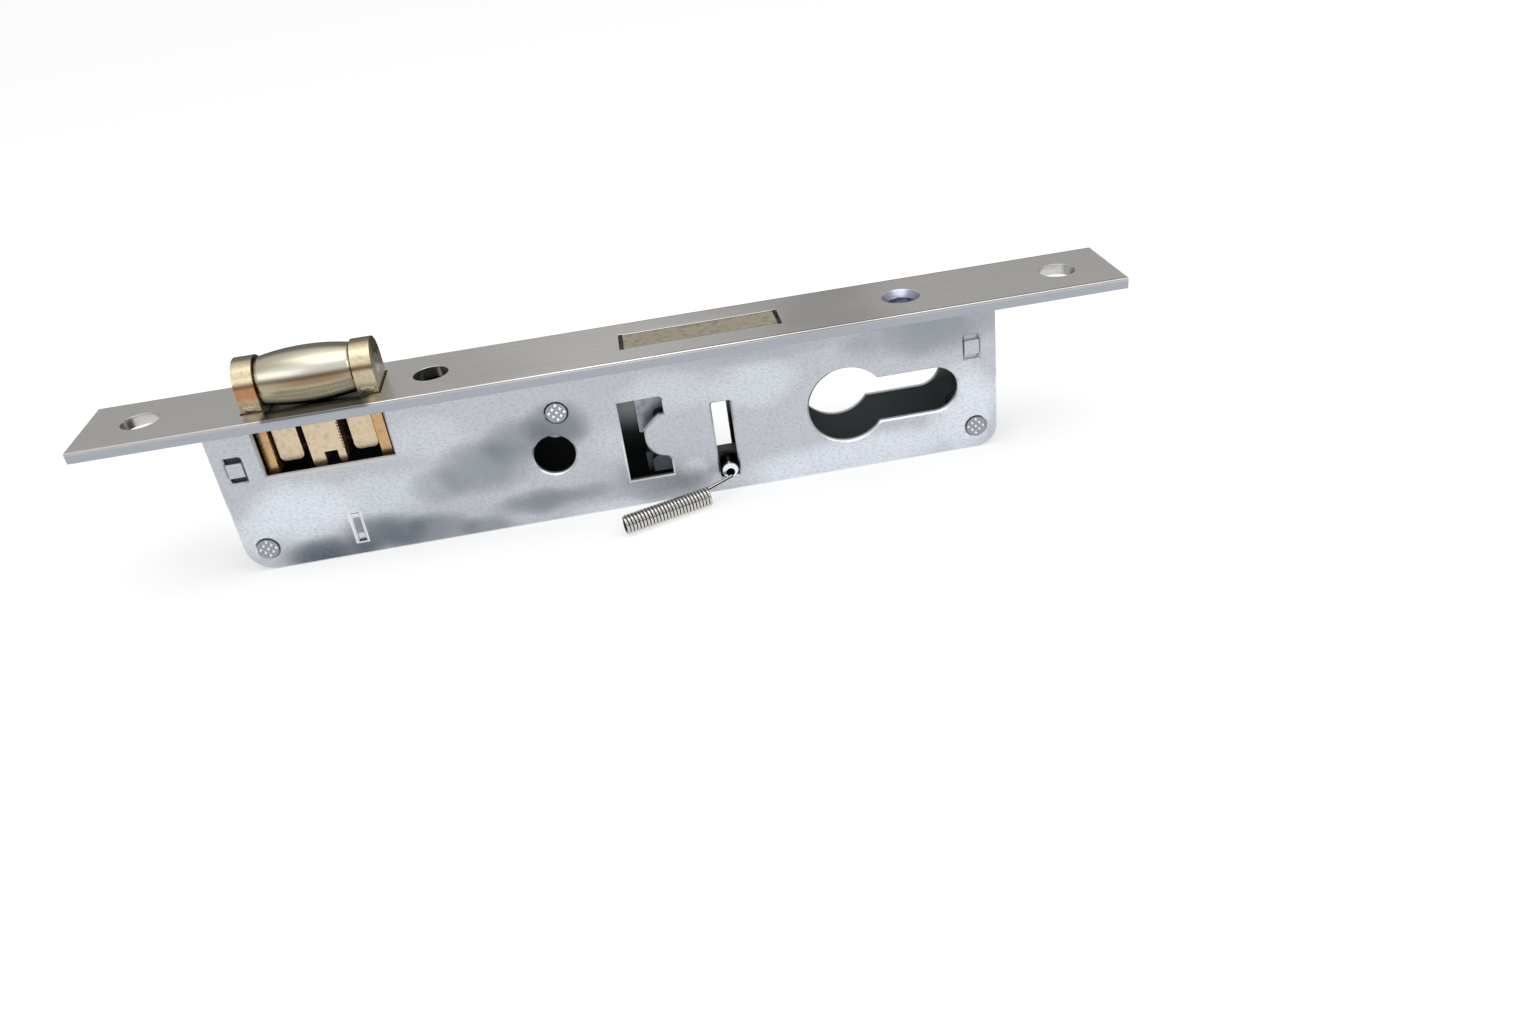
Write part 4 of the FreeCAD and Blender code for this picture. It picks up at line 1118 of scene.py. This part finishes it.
@dataclass
class Deadbolt:
    """Bolt head, its steel tail, pins and the tumbler."""

    rim: float = 0.12
    stud_sharp: float = 60.0

    def build(self, shop: Workshop) -> None:
        """Makes the pieces of the head and the stud, and dresses the rest."""
        shop.soften_node("bolt_head", "bolt_head_casting", Body.DEADBOLT, BOLT_FINISH, self.rim)
        shop.soften_node(
            "guide_pin", "guide_stud", Body.DEADBOLT, STUD, self.rim, self.stud_sharp
        )
        shop.dress(SHADED_DARK_STEEL, "bolt_tail", "bolt_rivet_left", "bolt_rivet_right", "tumbler_pin", "tumbler")
        shop.dress(OILED, "tumbler_spring")


@dataclass
class HangingSpring:
    """Close-wound spring that lies beside the case, hooked into the guide stud's eye."""

    end: Vector = Vector((15.1, -12.4, -33.7))
    angle: float = 198.4
    pitch: float = 0.775
    wire: float = 0.7
    mean_radius: float = 1.75
    turns: int = 26
    steps: int = 24
    sides: int = 8
    eye: Triple = (20.6, -9.6, -31.28)
    hook: float = 1.9
    leg_sides: int = 16
    # Direction of the light for the leg's painted highlight.
    lit: Vector = Vector((0.0, -0.6, 0.8))
    leg_contrast: int = 3
    sharp: float = 60.0

    @property
    def way(self) -> Vector:
        """The coil's direction."""
        return Vector((math.cos(math.radians(self.angle)), math.sin(math.radians(self.angle)), 0.0))

    def build(self, shop: Workshop) -> None:
        """Makes the coil with its leg and hook."""
        shape = self.coil()
        turned = len(shape.verts)
        self.add_leg(shape)
        self.mark_painted_light(shape, turned)
        shop.settle(
            shape, "wound_spring", Body.HANGING_SPRING, WOUND, ["extension_spring"],
            self.sharp,
        )

    def coil(self) -> bmesh.types.BMesh:
        """The wire of the coil."""
        way = self.way
        shape = bmesh.new()
        top = self.end + Way.UP.value * self.mean_radius
        facing = Matrix.LocRotScale(top * MM, way.cross(Way.UP.value).to_track_quat("Z", "Y"), None)
        bmesh.ops.create_circle(shape, segments=self.sides, radius=self.wire / 2 * MM, matrix=facing)
        steps = self.turns * self.steps
        bmesh.ops.spin(
            shape, geom=shape.verts[:] + shape.edges[:], cent=self.end * MM, axis=way,
            dvec=way * (self.pitch / self.steps * MM), angle=FULL_TURN * self.turns, steps=steps,
        )
        ends = [edge for edge in shape.edges if edge.is_boundary]
        bmesh.ops.holes_fill(shape, edges=ends, sides=self.sides)
        bmesh.ops.recalc_face_normals(shape, faces=shape.faces)
        return shape

    def add_leg(self, shape: bmesh.types.BMesh) -> None:
        """Adds the straight leg and the hook through the stud's eye."""
        path = self.path()
        radius = self.wire / 2 * MM
        for start, stop in zip(path, path[1:]):
            along = stop - start
            turn = along.to_track_quat("Z", "Y").to_matrix().to_4x4()
            bmesh.ops.create_cone(
                shape, cap_ends=True, segments=self.leg_sides, radius1=radius, radius2=radius,
                depth=along.length * MM, matrix=Matrix.Translation((start + stop) / 2 * MM) @ turn,
            )
            bmesh.ops.create_uvsphere(
                shape, u_segments=self.leg_sides, v_segments=self.leg_sides, radius=radius,
                matrix=Matrix.Translation(start * MM),
            )

    def path(self) -> list[Vector]:
        """The corners of the leg and the hook."""
        eye = Vector(self.eye)
        return [self.end + Way.UP.value * self.mean_radius, eye, eye + Way.ACROSS.value * self.hook]

    def mark_painted_light(self, shape: bmesh.types.BMesh, turned: int) -> None:
        """Writes the painted light of each point of the wire, for the finish: on the coil how far out the
        point lies, so that the side towards the axis gets painted shade, and on the leg how far it faces the
        light, for a painted highlight.

        Args:
            shape: The coil with its leg.
            turned: Number of the coil's points, which come first.
        """
        layer = shape.verts.layers.float.new("painted_light")
        way = self.way
        start, bend, stop = self.path()
        shape.verts.ensure_lookup_table()
        for number, vert in enumerate(shape.verts):
            spot = vert.co / MM
            # The coil: painted shade towards its axis, so between the turns.
            if number < turned:
                out = spot - self.end
                painted_light = ((out - way * out.dot(way)).length - self.mean_radius) / self.wire + 0.5
            else:
                # The leg: painted highlight where it faces the light, painted shade elsewhere.
                ends = (start, bend) if (spot - bend).dot(start - bend) > 0 else (bend, stop)
                nearest = geometry.intersect_point_line(spot, *ends)[0]
                painted_light = (spot - nearest).normalized().dot(self.lit) ** self.leg_contrast
            vert[layer] = painted_light


@dataclass(frozen=True)
class Lamp:
    """A soft lamp that faces the lock: place in millimetres, size in metres and power in watts."""

    name: str
    place: Triple
    length: float
    width: float
    power: float

    def add(self) -> None:
        """Hangs the lamp."""
        data = bpy.data.lights.new(self.name, "AREA")
        data.shape = "RECTANGLE"
        data.size = self.length
        data.size_y = self.width
        data.energy = self.power
        lamp = bpy.data.objects.new(self.name, data)
        place = Vector(self.place)
        lamp.location = place * MM
        lamp.rotation_mode = "QUATERNION"
        lamp.rotation_quaternion = (-place).to_track_quat("-Z", "Y")
        bpy.context.scene.collection.objects.link(lamp)


@dataclass
class Studio:
    """Pale floor, soft light and the camera."""

    floor_height: float = -35.8
    floor_reach: float = 6.0
    place: Vector = Vector((7.077, -240.494, 93.219))
    look: Vector = Vector((0.07623, 0.86036, -0.50395))
    down: Vector = Vector((-0.17393, -0.48620, -0.85636))
    lens: float = 27.92
    sensor_width: float = 36.0
    clip_start: float = 0.01
    floor_tone: Colour = (0.50, 0.505, 0.51)
    floor_rough: float = 0.9
    floor_glow: float = 0.58
    dark_reflected_tone: Colour = (0.10, 0.10, 0.09)
    mirrored_glow: float = 0.5
    mirrored_fade: Ends = (15.0, 60.0)
    horizon: tuple[float, Colour] = (0.05, (0.16, 0.16, 0.15))
    zenith: tuple[float, Colour] = (0.95, (1.3, 1.3, 1.3))
    sky_levels: tuple[tuple[float, float], ...] = ((0.42, 0.60), (0.62, 0.62), (0.88, 0.8))
    sky_warmth: Colour = (1.0, 0.99, 0.98)
    backdrop: Colour = (0.985, 0.985, 0.985)
    lamps: tuple[Lamp, ...] = (
        Lamp("top_light", (60.0, -120.0, 700.0), 0.7, 0.5, 1.25),
        Lamp("left_light", (-500.0, -600.0, 450.0), 0.5, 0.3, 0.3),
        Lamp("right_light", (550.0, -420.0, 380.0), 0.4, 0.3, 0.5),
    )

    def build(self, shop: Workshop) -> None:
        """Makes everything round the lock."""
        self.add_camera()
        self.add_floor()
        self.add_world()
        for lamp in self.lamps:
            lamp.add()
        bpy.context.scene.view_settings.view_transform = "Standard"

    def add_camera(self) -> None:
        """Puts the camera where the photograph was taken from."""
        data = bpy.data.cameras.new("camera")
        data.lens = self.lens
        data.sensor_width = self.sensor_width
        data.clip_start = self.clip_start
        camera = bpy.data.objects.new("camera", data)
        bpy.context.scene.collection.objects.link(camera)
        across = self.down.cross(self.look)
        turn = Matrix((across, -self.down, -self.look)).transposed().to_4x4()
        camera.matrix_world = Matrix.Translation(self.place * MM) @ turn
        bpy.context.scene.camera = camera

    def add_floor(self) -> None:
        """The table top, which shows white to the camera and keeps the lock's shadow."""
        shape = bmesh.new()
        spot = Matrix.Translation((0.0, 0.0, self.floor_height * MM))
        bmesh.ops.create_grid(shape, x_segments=1, y_segments=1, size=self.floor_reach, matrix=spot)
        mesh = bpy.data.meshes.new("floor")
        shape.to_mesh(mesh)
        shape.free()
        tree = Tree("floor_white")
        seen = tree.node("ShaderNodeLightPath", output="Is Camera Ray")
        mirrored = tree.node("ShaderNodeLightPath", output="Is Glossy Ray")
        # Painted dark reflection: seen in reflections, the floor behind the lock is dark and does not glow.
        behind = tree.across.within(*self.mirrored_fade) * mirrored
        tree.finish({
            "Roughness": self.floor_rough,
            "Base Color": tree.blend(behind, self.floor_tone, self.dark_reflected_tone),
            "Emission Color": opaque(WHITE),
            "Emission Strength": seen * self.floor_glow + (mirrored - behind) * self.mirrored_glow,
        })
        mesh.materials.append(tree.material)
        floor = bpy.data.objects.new("floor", mesh)
        bpy.context.scene.collection.objects.link(floor)

    def add_world(self) -> None:
        """Soft surroundings: mid grey at the horizon, bright overhead and white behind the lock."""
        world = bpy.data.worlds.new("studio")
        world.use_nodes = True
        bpy.context.scene.world = world
        nodes, links = world.node_tree.nodes, world.node_tree.links
        spot = nodes.new("ShaderNodeTexCoord")
        split = nodes.new("ShaderNodeSeparateXYZ")
        links.new(spot.outputs["Generated"], split.inputs["Vector"])
        ramp = nodes.new("ShaderNodeValToRGB")
        links.new(split.outputs["Z"], ramp.inputs["Fac"])
        steps = ramp.color_ramp.elements
        for step, (height, colour) in zip(steps, (self.horizon, self.zenith)):
            step.position = height
            step.color = opaque(colour)
        for height, level in self.sky_levels:
            steps.new(height).color = opaque(shaded(self.sky_warmth, level))
        ray = nodes.new("ShaderNodeLightPath")
        mix = nodes.new("ShaderNodeMix")
        mix.data_type = "RGBA"
        links.new(ray.outputs["Is Camera Ray"], mix.inputs[MIX_SHARE])
        links.new(ramp.outputs["Color"], mix.inputs[MIX_FIRST])
        mix.inputs[MIX_SECOND].default_value = opaque(self.backdrop)
        links.new(mix.outputs[MIX_RESULT], nodes["Background"].inputs["Color"])


def main() -> None:
    """Builds the lock's pieces in order."""
    logging.basicConfig(level=logging.INFO, format="%(message)s")
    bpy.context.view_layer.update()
    shop = Workshop()
    for part in (Studio(), Forend(), Case(), RollerLatch(), Deadbolt(), HangingSpring()):
        part.build(shop)
        LOG.info("built %s", type(part).__name__)


if __name__ == "__main__":
    main()
